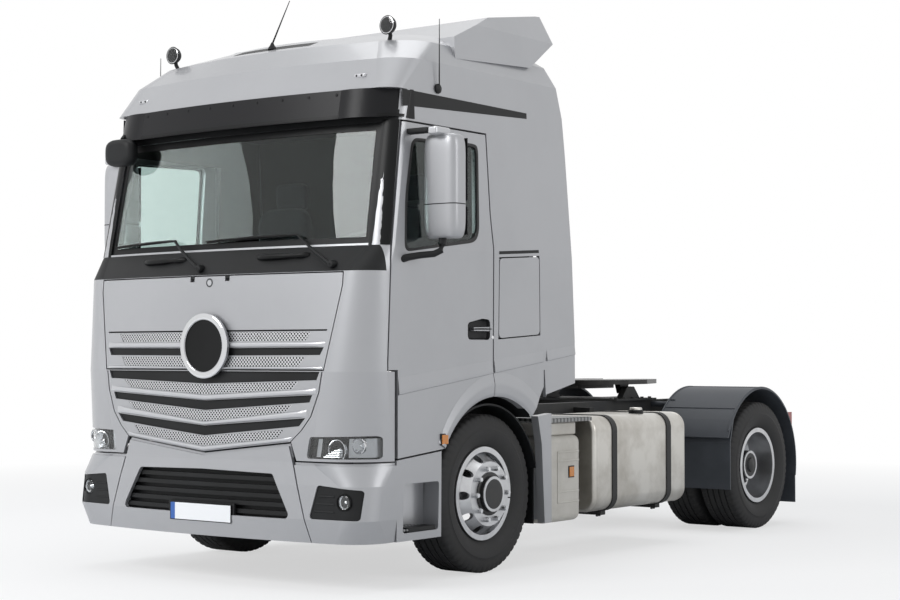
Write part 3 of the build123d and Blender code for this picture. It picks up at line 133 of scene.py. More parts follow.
@dataclass(frozen=True)
class Finish:
    """One real finish, from its colour, gloss and the size of its surface pattern."""

    name: str
    colour: str
    slot: str
    roughness: float = 0.5
    metallic: float = 0.0
    coat: float = 0.0
    transmission: float = 0.0
    ior: float = 1.5
    sheen: float = 0.0
    pattern: Pattern = Pattern.GRAIN
    size_mm: float = 1.5
    height_mm: float = 0.05
    second: str = ""
    stain_mm: float = 400.0
    stain: float = 0.0

    def build(self) -> bpy.types.Material:
        """Make the material once, or give the one already made.

        Returns:
            The material.
        """
        if self.name in bpy.data.materials:
            return bpy.data.materials[self.name]
        material = bpy.data.materials.new(self.name)
        tree = empty_tree(material)
        shader = add_node(tree, "BsdfPrincipled", {
            "Base Color": linear(self.colour), "Roughness": self.roughness, "Metallic": self.metallic,
            "Coat Weight": self.coat, "Coat Roughness": 0.06, "Transmission Weight": self.transmission,
            "IOR": self.ior, "Sheen Weight": self.sheen})
        add_node(tree, "OutputMaterial", links={"Surface": shader.outputs["BSDF"]})
        place = add_node(tree, "TexCoord").outputs["Object"]
        if self.pattern in (Pattern.HOLES_FRONT, Pattern.HOLES_TOP):
            self._holes(tree, place, shader)
        elif self.pattern is not Pattern.CLEAR:
            self._surface(tree, place, shader)
        return material

    def _holes(self, tree: Tree, place: Socket, shader: bpy.types.Node) -> None:
        """Dark round holes on a square lattice turned by 45 degrees, so that rows are staggered; the holes'
        dark colour is painted shade seen through them.

        Args:
            tree: the node tree.
            place: the socket with the object's coordinates.
            shader: the shader that the pattern feeds.
        """
        tilt = math.pi / 2 if self.pattern is Pattern.HOLES_FRONT else 0.0
        step = 1000 / self.size_mm
        lattice = add_node(tree, "Mapping", {"Rotation": (tilt, 0, math.pi / 4), "Scale": (step,) * 3},
                           {"Vector": place})
        dots = add_node(tree, "TexVoronoi", {"Scale": 1.0, "Randomness": 0.0},
                        {"Vector": lattice.outputs[0]}, voronoi_dimensions="2D")
        hole = add_node(tree, "MapRange", {"From Min": 0.33, "From Max": 0.39},
                        {"Value": dots.outputs["Distance"]})
        # The holes take second, which is painted shade.
        mix = add_node(tree, "Mix", {6: linear(self.second), 7: linear(self.colour)}, {0: hole.outputs[0]},
                       data_type="RGBA")
        tree.links.new(mix.outputs[2], shader.inputs["Base Color"])
        bump = add_node(tree, "Bump", {"Strength": 0.6, "Distance": self.height_mm / 1000},
                        {"Height": hole.outputs[0]})
        tree.links.new(bump.outputs[0], shader.inputs["Normal"])

    def _surface(self, tree: Tree, place: Socket, shader: bpy.types.Node) -> None:
        """Fine noise, stretched along the way the surface was worked, with slow stains over it.

        Args:
            tree: the node tree.
            place: the socket with the object's coordinates.
            shader: the shader that the pattern feeds.
        """
        fine = 1000 / self.size_mm
        stretch = {Pattern.GRAIN: (1, 1, 1), Pattern.WEAVE: (1, 1, 1), Pattern.BRUSHED: (1, 0.02, 1),
                   Pattern.TURNED: (0.6, 1, 1)}[self.pattern]
        scaled = add_node(tree, "Mapping", {"Scale": tuple(fine * s for s in stretch)}, {"Vector": place})
        grain = add_node(tree, "TexNoise", {"Scale": 1.0, "Detail": 3.0}, {"Vector": scaled.outputs[0]})
        bump = add_node(tree, "Bump", {"Strength": 0.35, "Distance": self.height_mm / 1000},
                        {"Height": grain.outputs[0]})
        tree.links.new(bump.outputs[0], shader.inputs["Normal"])
        if self.stain:
            slow = 1000 / self.stain_mm
            cloud = add_node(tree, "TexNoise", {"Scale": slow, "Detail": 6.0, "Roughness": 0.6},
                             {"Vector": place})
            share = add_node(tree, "MapRange", {"From Min": 0.4, "From Max": 0.7, "To Max": self.stain},
                             {"Value": cloud.outputs[0]})
            mix = add_node(tree, "Mix", {6: linear(self.colour), 7: linear(self.second)},
                           {0: share.outputs[0]}, data_type="RGBA")
            tree.links.new(mix.outputs[2], shader.inputs["Base Color"])
            rough = add_node(tree, "MapRange", {"To Min": self.roughness * 0.85,
                                                "To Max": self.roughness * 1.2}, {"Value": cloud.outputs[0]})
            tree.links.new(rough.outputs[0], shader.inputs["Roughness"])


# Metallic base coat under clear lacquer: aluminium flake gives a soft sheen, the lacquer a sharp one.
SILVER = Finish("metallic_silver_paint", "A6A7AA", "silver", 0.4, 0.55, 0.35, size_mm=1.2, height_mm=0.01,
                second="9C9DA0", stain=0.5, stain_mm=900)
SILVER_TRIM = Finish("silver_trim_paint", "B9BABD", "silver", 0.30, 0.62, 0.5, size_mm=1.2, height_mm=0.01)
# Smoke-tinted acrylic of the visor: nearly black, with a clear gloss.
VISOR = Finish("smoked_acrylic", "18181A", "dark_plastic", 0.34, ior=1.27, size_mm=3, height_mm=0.01)
GUARD = Finish("slate_polypropylene", "3A3E44", "dark_plastic", 0.52, size_mm=2.5, height_mm=0.12,
               second="50545A", stain=0.5)
BLACK = Finish("black_moulded_plastic", "111213", "black_plastic", 0.5, ior=1.34, size_mm=2.0, height_mm=0.1,
               second="222325", stain=0.5)
GLOSS_BLACK = Finish("gloss_black_plastic", "0C0D0E", "black_plastic", 0.36, ior=1.28, size_mm=4,
                     height_mm=0.01)
# In the punched plates below, second is the holes' colour: painted shade of the space seen through them.
MESH = Finish("punched_mesh", "C4C5C7", "silver", 0.32, 0.7, pattern=Pattern.HOLES_FRONT, size_mm=17.0,
              height_mm=1.0, second="08090A")
STEP_MESH = Finish("punched_step_plate", "8C8D8E", "aluminium_plate", 0.5, 0.6, pattern=Pattern.HOLES_TOP,
                   size_mm=22.0, height_mm=3.0, second="0D0E0F")
PLATE_METAL = Finish("aluminium_tread_plate", "8E8F8F", "aluminium_plate", 0.45, 0.8,
                     pattern=Pattern.HOLES_TOP, size_mm=30.0, height_mm=2.0, second="5C5D5D")
BOX_GREY = Finish("warm_grey_paint", "C2BFB8", "warm_grey", 0.5, 0.1, size_mm=2.0, height_mm=0.05,
                  second="A39F97", stain=0.6, stain_mm=220)
FRAME_BLACK = Finish("chassis_black_paint", "1D1E20", "frame_black", 0.5, size_mm=3.0, height_mm=0.12,
                     second="34332F", stain=0.6, stain_mm=150)
GREASED = Finish("greased_cast_steel", "131313", "cast_black", 0.34, 0.3, size_mm=3.5, height_mm=0.3,
                 second="2A2826", stain=0.8, stain_mm=90)
CAST_GREY = Finish("painted_cast_iron", "4A4D50", "cast_grey", 0.55, 0.2, size_mm=4.0, height_mm=0.3,
                   second="2F2E2C", stain=0.7, stain_mm=120)
GLASS = Finish("tinted_laminated_glass", "CFDCD9", "window", 0.0, transmission=1.0, ior=1.35,
               pattern=Pattern.CLEAR)
LENS = Finish("clear_polycarbonate", "F4F6F7", "lens", 0.02, transmission=1.0, ior=1.45,
              pattern=Pattern.CLEAR)
# Forged aluminium wheels, turned and polished by hand: a bright metal with fine rings.
WHEEL = Finish("polished_forged_aluminium", "C6C7C9", "wheel_alloy", 0.33, 1.0, pattern=Pattern.TURNED,
               size_mm=3.0, height_mm=0.03, second="A9AAAC", stain=0.6, stain_mm=120)
TANK = Finish("brushed_tank_aluminium", "C4C2BD", "tank_alloy", 0.36, 1.0, pattern=Pattern.BRUSHED,
              size_mm=2.0, height_mm=0.06, second="A5A19A", stain=0.9, stain_mm=260)
CHROME = Finish("chrome_plate", "D5D6D8", "chrome", 0.09, 1.0, pattern=Pattern.CLEAR)
TYRE = Finish("tyre_rubber", "1B1B1C", "tyre", 0.72, size_mm=4.0, height_mm=0.3, second="2B2A29", stain=0.7,
              stain_mm=90)
RUBBER = Finish("black_rubber", "131314", "rubber", 0.62, size_mm=3.0, height_mm=0.15, second="1F1F1F",
                stain=0.5)
HUB = Finish("dark_hub_paint", "232426", "frame_black", 0.42, 0.2, size_mm=3.0, height_mm=0.1,
             second="35322D", stain=0.5, stain_mm=60)
RED = Finish("red_lamp_plastic", "8E1113", "red_lens", 0.12, 0.0, 0.5, size_mm=6, height_mm=0.4)
AMBER = Finish("amber_lamp_plastic", "C8770F", "red_lens", 0.15, 0.0, 0.5, size_mm=5, height_mm=0.4)
PLATE_WHITE = Finish("reflective_white_sheet", "E9EBED", "plate_white", 0.3, size_mm=3, height_mm=0.02)
PLATE_BLUE = Finish("reflective_blue_sheet", "2F5EA8", "plate_white", 0.3, size_mm=3, height_mm=0.02)
INTERIOR = Finish("moulded_dash_plastic", "3B3A38", "interior", 0.6, size_mm=2.5, height_mm=0.2,
                  second="32312F", stain=0.5)
CLOTH = Finish("woven_seat_cloth", "33343A", "cloth", 0.9, sheen=0.3, pattern=Pattern.WEAVE, size_mm=2.2,
               height_mm=0.5, second="26272B", stain=0.5, stain_mm=40)
WHITE_LAMP = Finish("white_lamp_plastic", "F3F4F4", "lens", 0.2, 0.0, 0.4, size_mm=8, height_mm=0.1)


# ------------------------------------------------------------------ mesh tools
def to_row(points: Array) -> Array:
    """Turn (x, station, height) in millimetres into the row frame in metres.

    Args:
        points: (n, 3) places as (x, station, height).

    Returns:
        The same points in metres.
    """
    moved = np.array(points, float)
    moved[..., 1] -= HALF_LENGTH
    return moved / 1000


def join(x: Array, station: Array, height: Array) -> Array:
    """Points from three arrays that broadcast against each other."""
    return np.stack(np.broadcast_arrays(x, station, height), axis=-1)


def wheel_arc(x: Array, at: float, radius: Array, angle: Array) -> Array:
    """Points round an axle: at + r cos a along the truck, hub height + r sin a upwards."""
    return join(x, at + radius * np.cos(angle), HUB_HEIGHT + radius * np.sin(angle))


def signed_power(value: Array, power: float) -> Array:
    """sign(v) |v|^p, which squares off a circle's sine and cosine."""
    return np.sign(value) * np.abs(value) ** power


def circle(count: int) -> Array:
    """Evenly spaced angles round a circle, without its end."""
    return np.linspace(0, 2 * math.pi, count, endpoint=False)


def square_axes(axis: Array) -> tuple[Array, Array, Array]:
    """An axis made one long, and two unit vectors square to it and to each other.

    Args:
        axis: the way that the axis runs.

    Returns:
        The axis and the two unit vectors.
    """
    axis = np.array(axis, float) / np.linalg.norm(axis)
    u = np.cross(axis, UP if abs(axis[2]) < 0.9 else LEFT)
    u /= np.linalg.norm(u)
    return axis, u, np.cross(axis, u)


def make_piece(name: str, points: Array, faces: list, finish: Finish, body: str, smooth: bool = True,
               facing: Array | None = None) -> Piece:
    """Put a mesh into the scene and let it ride on a body.

    Args:
        name: the piece's name.
        points: (n, 3) places as (x, station, height).
        faces: rows of point numbers.
        finish: what it is made of.
        body: the CAD body that it moves with.
        smooth: whether its faces are shaded smooth.
        facing: for an open sheet, the way that its outer face looks; a closed one is turned outwards.

    Returns:
        The new object.
    """
    mesh = bpy.data.meshes.new(name)
    mesh.from_pydata(to_row(points).tolist(), [], faces)
    mesh.update()
    count = len(mesh.polygons)
    normals, centres, areas = np.zeros(count * 3), np.zeros(count * 3), np.zeros(count)
    mesh.polygons.foreach_get("normal", normals)
    mesh.polygons.foreach_get("center", centres)
    mesh.polygons.foreach_get("area", areas)
    normals, centres = normals.reshape(-1, 3), centres.reshape(-1, 3)
    if facing is None:
        outward = float(((normals * (centres - centres.mean(0))).sum(1) * areas).sum())
    else:
        outward = float(((normals @ facing) * areas).sum())
    if outward < 0:
        mesh.flip_normals()
    mesh.polygons.foreach_set("use_smooth", np.full(count, smooth))
    if smooth:
        mesh.set_sharp_from_angle(angle=math.radians(SHARP_DEGREES))
    mesh.materials.append(finish.build())
    piece = bpy.data.objects.new(name, mesh)
    bpy.context.scene.collection.objects.link(piece)
    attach(piece, body)
    LOG.info("%s rides on %s with %d faces", name, body, count)
    return piece


def grid_faces(rows: int, columns: int, wrap_rows: bool = False, wrap_columns: bool = False) -> list:
    """Quads of a grid of points numbered row by row, as arrays of neighbouring numbers.

    Args:
        rows: how many rows of points.
        columns: how many points in a row.
        wrap_rows: whether the last row joins the first.
        wrap_columns: whether the last column joins the first.

    Returns:
        Rows of four point numbers.
    """
    number = np.arange(rows * columns).reshape(rows, columns)
    if wrap_rows:
        number = np.vstack((number, number[:1]))
    if wrap_columns:
        number = np.hstack((number, number[:, :1]))
    quads = np.stack((number[:-1, :-1], number[1:, :-1], number[1:, 1:], number[:-1, 1:]), axis=-1)
    return quads.reshape(-1, 4).tolist()


def sheet(name: str, grid: Array, finish: Finish, body: str, facing: Array) -> Piece:
    """An open surface on a (rows, columns, 3) grid, with its outer face looking the given way."""
    return make_piece(name, grid.reshape(-1, 3), grid_faces(*grid.shape[:2]), finish, body, True, facing)


def closed_loft(name: str, rings: Array, finish: Finish, body: str, smooth: bool = True,
                round_trip: bool = False) -> Piece:
    """A closed solid through (n, m, 3) rings; the ends are capped, or joined in a round trip.

    Args:
        name: the piece's name.
        rings: (n, m, 3) places, one closed ring in each row.
        finish: what it is made of.
        body: the CAD body that it moves with.
        smooth: whether its faces are shaded smooth.
        round_trip: whether the last ring joins the first.

    Returns:
        The new object.
    """
    rows, columns = rings.shape[:2]
    faces = grid_faces(rows, columns, wrap_rows=round_trip, wrap_columns=True)
    if not round_trip:
        faces.append(list(range(columns))[::-1])
        faces.append(list(range((rows - 1) * columns, rows * columns)))
    return make_piece(name, rings.reshape(-1, 3), faces, finish, body, smooth)


def block(name: str, low: tuple, high: tuple, finish: Finish, body: str, bevel: float = 4.0) -> Piece:
    """A box with rounded edges between two corners.

    Args:
        name: the piece's name.
        low: one corner.
        high: the corner opposite.
        finish: what it is made of.
        body: the CAD body that it moves with.
        bevel: the width of its rounded edges.

    Returns:
        The new object.
    """
    low, high = np.array(low, float), np.array(high, float)
    low, high = np.minimum(low, high), np.maximum(low, high)
    unit = np.array([(i, j, k) for i in (0, 1) for j in (0, 1) for k in (0, 1)])
    faces = [(0, 1, 3, 2), (4, 6, 7, 5), (0, 4, 5, 1), (2, 3, 7, 6), (0, 2, 6, 4), (1, 5, 7, 3)]
    piece = make_piece(name, low + unit * (high - low), faces, finish, body, False)
    edge = piece.modifiers.new("edges", "BEVEL")
    edge.width, edge.segments = bevel / 1000, 3
    edge.limit_method = "ANGLE"
    return piece


def frames_along(path: Array) -> tuple[Array, Array]:
    """Two unit vectors across each point of a path, from its tangent and the upward direction.

    Args:
        path: (n, 3) places along its middle line.

    Returns:
        The vectors across the path and the vectors square to those, one of each for a point.
    """
    tangent = np.gradient(path, axis=0)
    tangent /= np.linalg.norm(tangent, axis=1, keepdims=True)
    guide = np.where(np.abs(tangent[:, 2:3]) > 0.9, LEFT, UP)
    across = np.cross(tangent, guide)
    across /= np.linalg.norm(across, axis=1, keepdims=True)
    return across, np.cross(across, tangent)


def tube(name: str, path: Array, radius: float | Array, finish: Finish, body: str, sides: int = 14,
         flat: float = 1.0) -> Piece:
    """A round bar: at each point of the path, centre + radius (cos a across + flat sin a upwards).

    Args:
        name: the piece's name.
        path: (n, 3) places along its middle line.
        radius: its radius, or one for each place on the path.
        finish: what it is made of.
        body: the CAD body that it moves with.
        sides: how many flat sides a ring has.
        flat: a ring's height as a share of its width.

    Returns:
        The new object.
    """
    path = np.array(path, float)
    across, rising = frames_along(path)
    angle = circle(sides)
    reach = np.broadcast_to(np.asarray(radius, float), (len(path),))[:, None, None]
    cosine, sine = np.cos(angle)[None, :, None], np.sin(angle)[None, :, None]
    ring = across[:, None] * cosine + flat * rising[:, None] * sine
    return closed_loft(name, path[:, None] + reach * ring, finish, body)


def turned(name: str, profile: Array, centre: tuple, axis: Array, finish: Finish, body: str, sides: int = 48,
           closed: bool = True) -> Piece:
    """A shape turned about an axis: centre + h axis + r (cos a u + sin a v), for profile rows (h, r).

    Args:
        name: the piece's name.
        profile: rows of (distance along the axis, radius).
        centre: where the distances along the axis start.
        axis: the way that the axis runs.
        finish: what it is made of.
        body: the CAD body that it moves with.
        sides: how many flat sides a ring has.
        closed: whether the ends are capped; if not, the profile closes on itself.

    Returns:
        The new object.
    """
    profile = np.array(profile, float)
    axis, u, v = square_axes(axis)
    angle = circle(sides)
    spoke = np.cos(angle)[:, None] * u + np.sin(angle)[:, None] * v
    reach = np.maximum(profile[:, 1:, None], LEAST_RADIUS)
    rings = np.array(centre, float) + profile[:, :1, None] * axis + reach * spoke[None]
    return closed_loft(name, rings, finish, body, round_trip=not closed)


def dress(node: str, finish: Finish) -> None:
    """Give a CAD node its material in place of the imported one.

    Args:
        node: the CAD node's name.
        finish: what it is made of.
    """
    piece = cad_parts[node]
    piece.data.materials.clear()
    piece.data.materials.append(finish.build())


# ------------------------------------------------------------------ cab surface
@dataclass(frozen=True)
class Level:
    """One plan section of the cab: front arc, rounded corner, straight side."""

    height: float
    set_back: float
    sweep: float
    corner_start: float
    corner_depth: float
    half_width: float


@dataclass(frozen=True)
class CabSurface:
    """The cab's outer surface, ruled between its plan sections."""

    levels: tuple[Level, ...]

    def _outline(self, level: Level, t: Array) -> tuple[Array, Array]:
        """Half a plan section: t in 0..1 runs over the front arc, 1..2 round the corner, 2..3 along the side.

        Args:
            level: the plan section.
            t: 0 to 1 over the front, 1 to 2 round the corner, 2 to 3 along the side.

        Returns:
            The x and the y of each point.
        """
        radius = (level.corner_start**2 + level.sweep**2) / (2 * level.sweep)
        half_angle = math.asin(level.corner_start / radius)
        turn = half_angle * np.clip(t, 0, 1)
        x_front, y_front = radius * np.sin(turn), level.set_back + radius * (1 - np.cos(turn))
        shoulder = level.set_back + level.sweep
        a = np.clip(t - 1, 0, 1) * math.pi / 2
        x_corner = level.corner_start + (level.half_width - level.corner_start) * np.sin(a)
        y_corner = shoulder + level.corner_depth * (1 - np.cos(a))
        y_side = shoulder + level.corner_depth + np.clip(t - 2, 0, 1) * 1700
        x = np.where(t <= 1, x_front, x_corner)
        y = np.where(t <= 1, y_front, np.where(t <= 2, y_corner, y_side))
        return x, y

    def place(self, t: Array, height: Array, lift: float = 0.0) -> Array:
        """Points of the surface at t and height, lifted outwards; a negative t is the other side.

        Args:
            t: the place along the half section.
            height: the height, or an array of them.
            lift: how far the points stand off the surface.

        Returns:
            The points, with their three coordinates last.
        """
        t, height = np.broadcast_arrays(np.asarray(t, float), np.asarray(height, float))
        side, bare = np.where(t < 0, -1.0, 1.0), np.abs(t)
        pairs = [self._outline(level, bare) for level in self.levels]
        heights = np.array([level.height for level in self.levels])
        index = np.clip(np.searchsorted(heights, height, side="right") - 1, 0, len(heights) - 2)
        share = (height - heights[index]) / (heights[index + 1] - heights[index])
        xs, ys = np.array([p[0] for p in pairs]), np.array([p[1] for p in pairs])
        x, y = ((1 - share) * np.take_along_axis(a, index[None], 0)[0]
                + share * np.take_along_axis(a, index[None] + 1, 0)[0] for a in (xs, ys))
        facing = np.clip(bare - 1, 0, 1) * math.pi / 2
        x = x + lift * np.sin(facing)
        y = y - lift * np.cos(facing)
        return np.stack((side * x, y, height), axis=-1)

    def measure(self, field: str, height: Array) -> Array:
        """One measure of the plan section at a height, in a straight line between levels."""
        heights = [level.height for level in self.levels]
        return np.interp(height, heights, [getattr(level, field) for level in self.levels])

    def front(self, x: Array, height: Array, lift: float = 0.0) -> Array:
        """Points on the front arc straight behind (x, height), lifted forwards.

        Args:
            x: the place across the truck.
            height: the height, or an array of them.
            lift: how far the points stand off the surface.

        Returns:
            The points, with their three coordinates last.
        """
        x = np.asarray(x, float)
        start, sweep = self.measure("corner_start", height), self.measure("sweep", height)
        radius = (start**2 + sweep**2) / (2 * sweep)
        return join(x, self.measure("set_back", height) + radius - np.sqrt(radius**2 - x**2) - lift, height)

    def side(self, station: Array, height: Array, sign: int, lift: float = 0.0) -> Array:
        """Points on the flat side (sign 1 is the left one) at a station and height, lifted sideways."""
        return join(sign * (self.measure("half_width", height) + lift), station, height)


CAB = CabSurface((
    Level(762, 28, 33, 850, 290, 1245), Level(1290, 51, 26, 927, 206, 1245),
    Level(1885, 76, 65, 1043, 174, 1245), Level(2040, 183, 90, 1120, 85, 1245),
    Level(2800, 340, 75, 1110, 90, 1215), Level(2990, 380, 75, 1100, 92, 1207),
))
ROOF = CabSurface((
    Level(2990, 292, 72, 1085, 110, 1207), Level(3190, 395, 90, 1000, 190, 1197),
    Level(3330, 540, 110, 880, 270, 1125), Level(3420, 760, 120, 650, 400, 975),
))
VISOR_SURFACE = CabSurface((Level(2812, 245, 50, 850, 220, 1219), Level(2990, 276, 55, 850, 230, 1211)))
BUMPER = CabSurface((
    Level(283, 4, 72, 1000, 240, 1225), Level(420, 0, 66, 1080, 150, 1243),
    Level(620, 14, 56, 1060, 200, 1245), Level(752, 28, 34, 850, 290, 1245),
    Level(880, 33, 33, 850, 285, 1245),
))


def symmetric_band(half_top: Array, half_bottom: Array, columns: int, rows: int) -> tuple[Array, Array]:
    """A grid of (x, height) between two half lines of (x, height), mirrored about the middle.

    Each row blends the two lines; each column walks from one end over the middle to the other.

    Args:
        half_top: the upper half line.
        half_bottom: the lower half line.
        columns: how many points a row has.
        rows: how many rows.

    Returns:
        The x and the height of each point.
    """
    share = np.linspace(-1, 1, columns)
    top, bottom = (np.stack([np.interp(np.abs(share), np.linspace(0, 1, len(line)), column)
                             for column in np.array(line, float).T], -1) for line in (half_top, half_bottom))
    down = np.linspace(0, 1, rows)[:, None, None]
    grid = top[None] * (1 - down) + bottom[None] * down
    return grid[..., 0] * np.sign(share + 1e-9)[None], grid[..., 1]


def studs(name: str, centres: Array, axis: Array, radius: float, height: float, finish: Finish, body: str,
          sides: int = 6) -> Piece:
    """Many short prisms in one mesh: a ring of corners at each centre, repeated at its far end.

    Args:
        name: the piece's name.
        centres: (n, 3) places, one for each prism.
        axis: the way that they stand out.
        radius: the radius of a prism.
        height: how far a prism stands out.
        finish: what it is made of.
        body: the CAD body that it moves with.
        sides: how many flat sides a ring has.

    Returns:
        The new object.
    """
    centres = np.array(centres, float)
    axis, u, v = square_axes(axis)
    angle = circle(sides)
    ring = radius * (np.cos(angle)[:, None] * u + np.sin(angle)[:, None] * v)
    near = centres[:, None] + ring[None]
    points = np.concatenate((near, near + height * axis), axis=1).reshape(-1, 3)
    low, high = np.arange(sides), np.arange(sides) + sides
    walls = np.stack((low, np.roll(low, -1), np.roll(high, -1), high), -1)
    base = np.arange(len(centres)) * 2 * sides
    faces = (base[:, None, None] + walls[None]).reshape(-1, 4).tolist()
    faces += (base[:, None] + high[None]).tolist() + (base[:, None] + low[::-1][None]).tolist()
    return make_piece(name, points, faces, finish, body, False)


# ------------------------------------------------------------------ front of the cab
@dataclass(frozen=True)
class Louvre:
    """One louvre of the grille, as half lines of (x, height)."""

    name: str
    body: str
    mesh_top: tuple
    mesh_bottom: tuple
    lip_top: tuple
    lip_bottom: tuple


@dataclass
class Grille:
    """Five louvres with punched mesh, black trays of painted shade in the gaps between them, and the plain
    ring and badge.
    """

    ring_height: float = 1445.0
    ring_radius: float = 181.0
    ring_tube: float = 21.0
    badge_height: float = 1836.0
    gap_depth: float = 11.0
    columns: int = 61
    # Half lines run from the middle of the cab to its left end.
    louvres: tuple[Louvre, ...] = (
        Louvre("louvre_1", "flap", ((0, 1526), (818, 1526)), ((0, 1470.5), (779, 1470.5)),
               ((0, 1469), (930, 1469)), ((0, 1433), (926, 1436))),
        Louvre("louvre_2", "flap", ((0, 1376.5), (783, 1376.5)), ((0, 1317), (744, 1320.5)),
               ((0, 1315), (912, 1322)), ((0, 1303), (925, 1303))),
        Louvre("louvre_3", "cab", ((0, 1208), (745, 1230)), ((0, 1146), (694, 1183)),
               ((0, 1144), (872, 1192)), ((0, 1111), (878, 1157))),
        Louvre("louvre_4", "cab", ((0, 1044), (702, 1092)), ((0, 981), (650, 1046)), ((0, 979), (808, 1064)),
               ((0, 957), (812, 1021))),
        Louvre("louvre_5", "cab", ((0, 888), (639, 942)), ((0, 831), (588, 892)), ((0, 828), (702, 902)),
               ((0, 799), (688, 876))),
    )
    # Per gap: the body it moves with, its upper half line and its lower one.
    gaps: tuple = (
        ("flap", ((0, 1540.5), (939, 1540.5)), ((0, 1531.5), (936, 1531.5))),
        ("flap", ((0, 1429.5), (921, 1433.5)), ((0, 1384.5), (897, 1388.5))),
        ("cab", ((0, 1288), (901, 1288)), ((0, 1212.5), (880, 1240.5))),
        ("cab", ((0, 1108.5), (850, 1151.5)), ((0, 1049.5), (831, 1108.5))),
        ("cab", ((0, 953.5), (800, 1014.5)), ((0, 893.5), (756, 966.5))),
    )

    def _shade_tray(self, name: str, body: str, top: tuple, bottom: tuple) -> None:
        """A black tray in a gap, as painted shade: its first and last rows stand at the face, the others on
        the floor.

        Args:
            name: the piece's name.
            body: the CAD body that it moves with.
            top: the gap's upper half line.
            bottom: its lower one.
        """
        x, z = symmetric_band(top, bottom, self.columns, 6)
        depth = np.full(6, self.gap_depth)
        depth[[0, -1]] = 0.5
        x[1], z[1] = x[0], z[0]
        x[-2], z[-2] = x[-1], z[-1]
        grid = CAB.front(x, z, 0.0)
        grid[..., 1] += depth[:, None]
        # Black stands for the shade that falls into the gap: painted shade.
        sheet(name, grid, BLACK, body, FORWARD)

    def _lip(self, louvre: Louvre) -> None:
        """The rounded lower edge of a louvre: half an ellipse, 13 mm deep, between its two lines.

        Args:
            louvre: the louvre that it belongs to.
        """
        x, z = symmetric_band(louvre.lip_top, louvre.lip_bottom, self.columns, 11)
        share = np.linspace(0, 1, 11)[:, None]
        lift = 13.0 * np.sqrt(np.clip(1 - (2 * share - 1) ** 2, 0, 1)) + 0.4
        ends = 1 - np.abs(np.linspace(-1, 1, self.columns)[None]) ** 30
        grid = CAB.front(x, z, 0.0)
        grid[..., 1] -= lift * ends
        sheet(f"{louvre.name}_lip", grid, SILVER_TRIM, louvre.body, FORWARD)

    def build(self) -> None:
        """Make the meshes, lips, the trays of painted shade and the ring."""
        for louvre in self.louvres:
            x, z = symmetric_band(louvre.mesh_top, louvre.mesh_bottom, self.columns, 4)
            sheet(f"{louvre.name}_mesh", CAB.front(x, z, -2.6), MESH, louvre.body, FORWARD)
            self._lip(louvre)
        for index, (body, top, bottom) in enumerate(self.gaps):
            self._shade_tray(f"grille_gap_{index}", body, top, bottom)
        centre = (0, 24, self.ring_height)
        angle = circle(24)
        profile = np.stack((9 * np.sin(angle), self.ring_radius + self.ring_tube * np.cos(angle)), -1)
        turned("grille_ring", profile, centre, FORWARD, CHROME, "flap", 96, closed=False)
        disc = ((0, 0), (0, 162), (5, 162), (3, 130), (1, 0))
        turned("grille_ring_disc", disc, (0, 31.5, self.ring_height), FORWARD, GLOSS_BLACK, "flap", 96)
        badge = tuple(CAB.front(0.0, self.badge_height))
        rim = ((0, 0), (0, 28), (2.4, 27), (2.4, 20), (1.0, 19), (1.0, 0))
        turned("flap_badge", rim, badge, FORWARD, CAST_GREY, "flap", 40)
        disc = ((0.9, 0), (0.9, 18.5), (1.8, 17.5), (2.0, 0))
        turned("flap_badge_disc", disc, badge, FORWARD, SILVER_TRIM, "flap", 40)


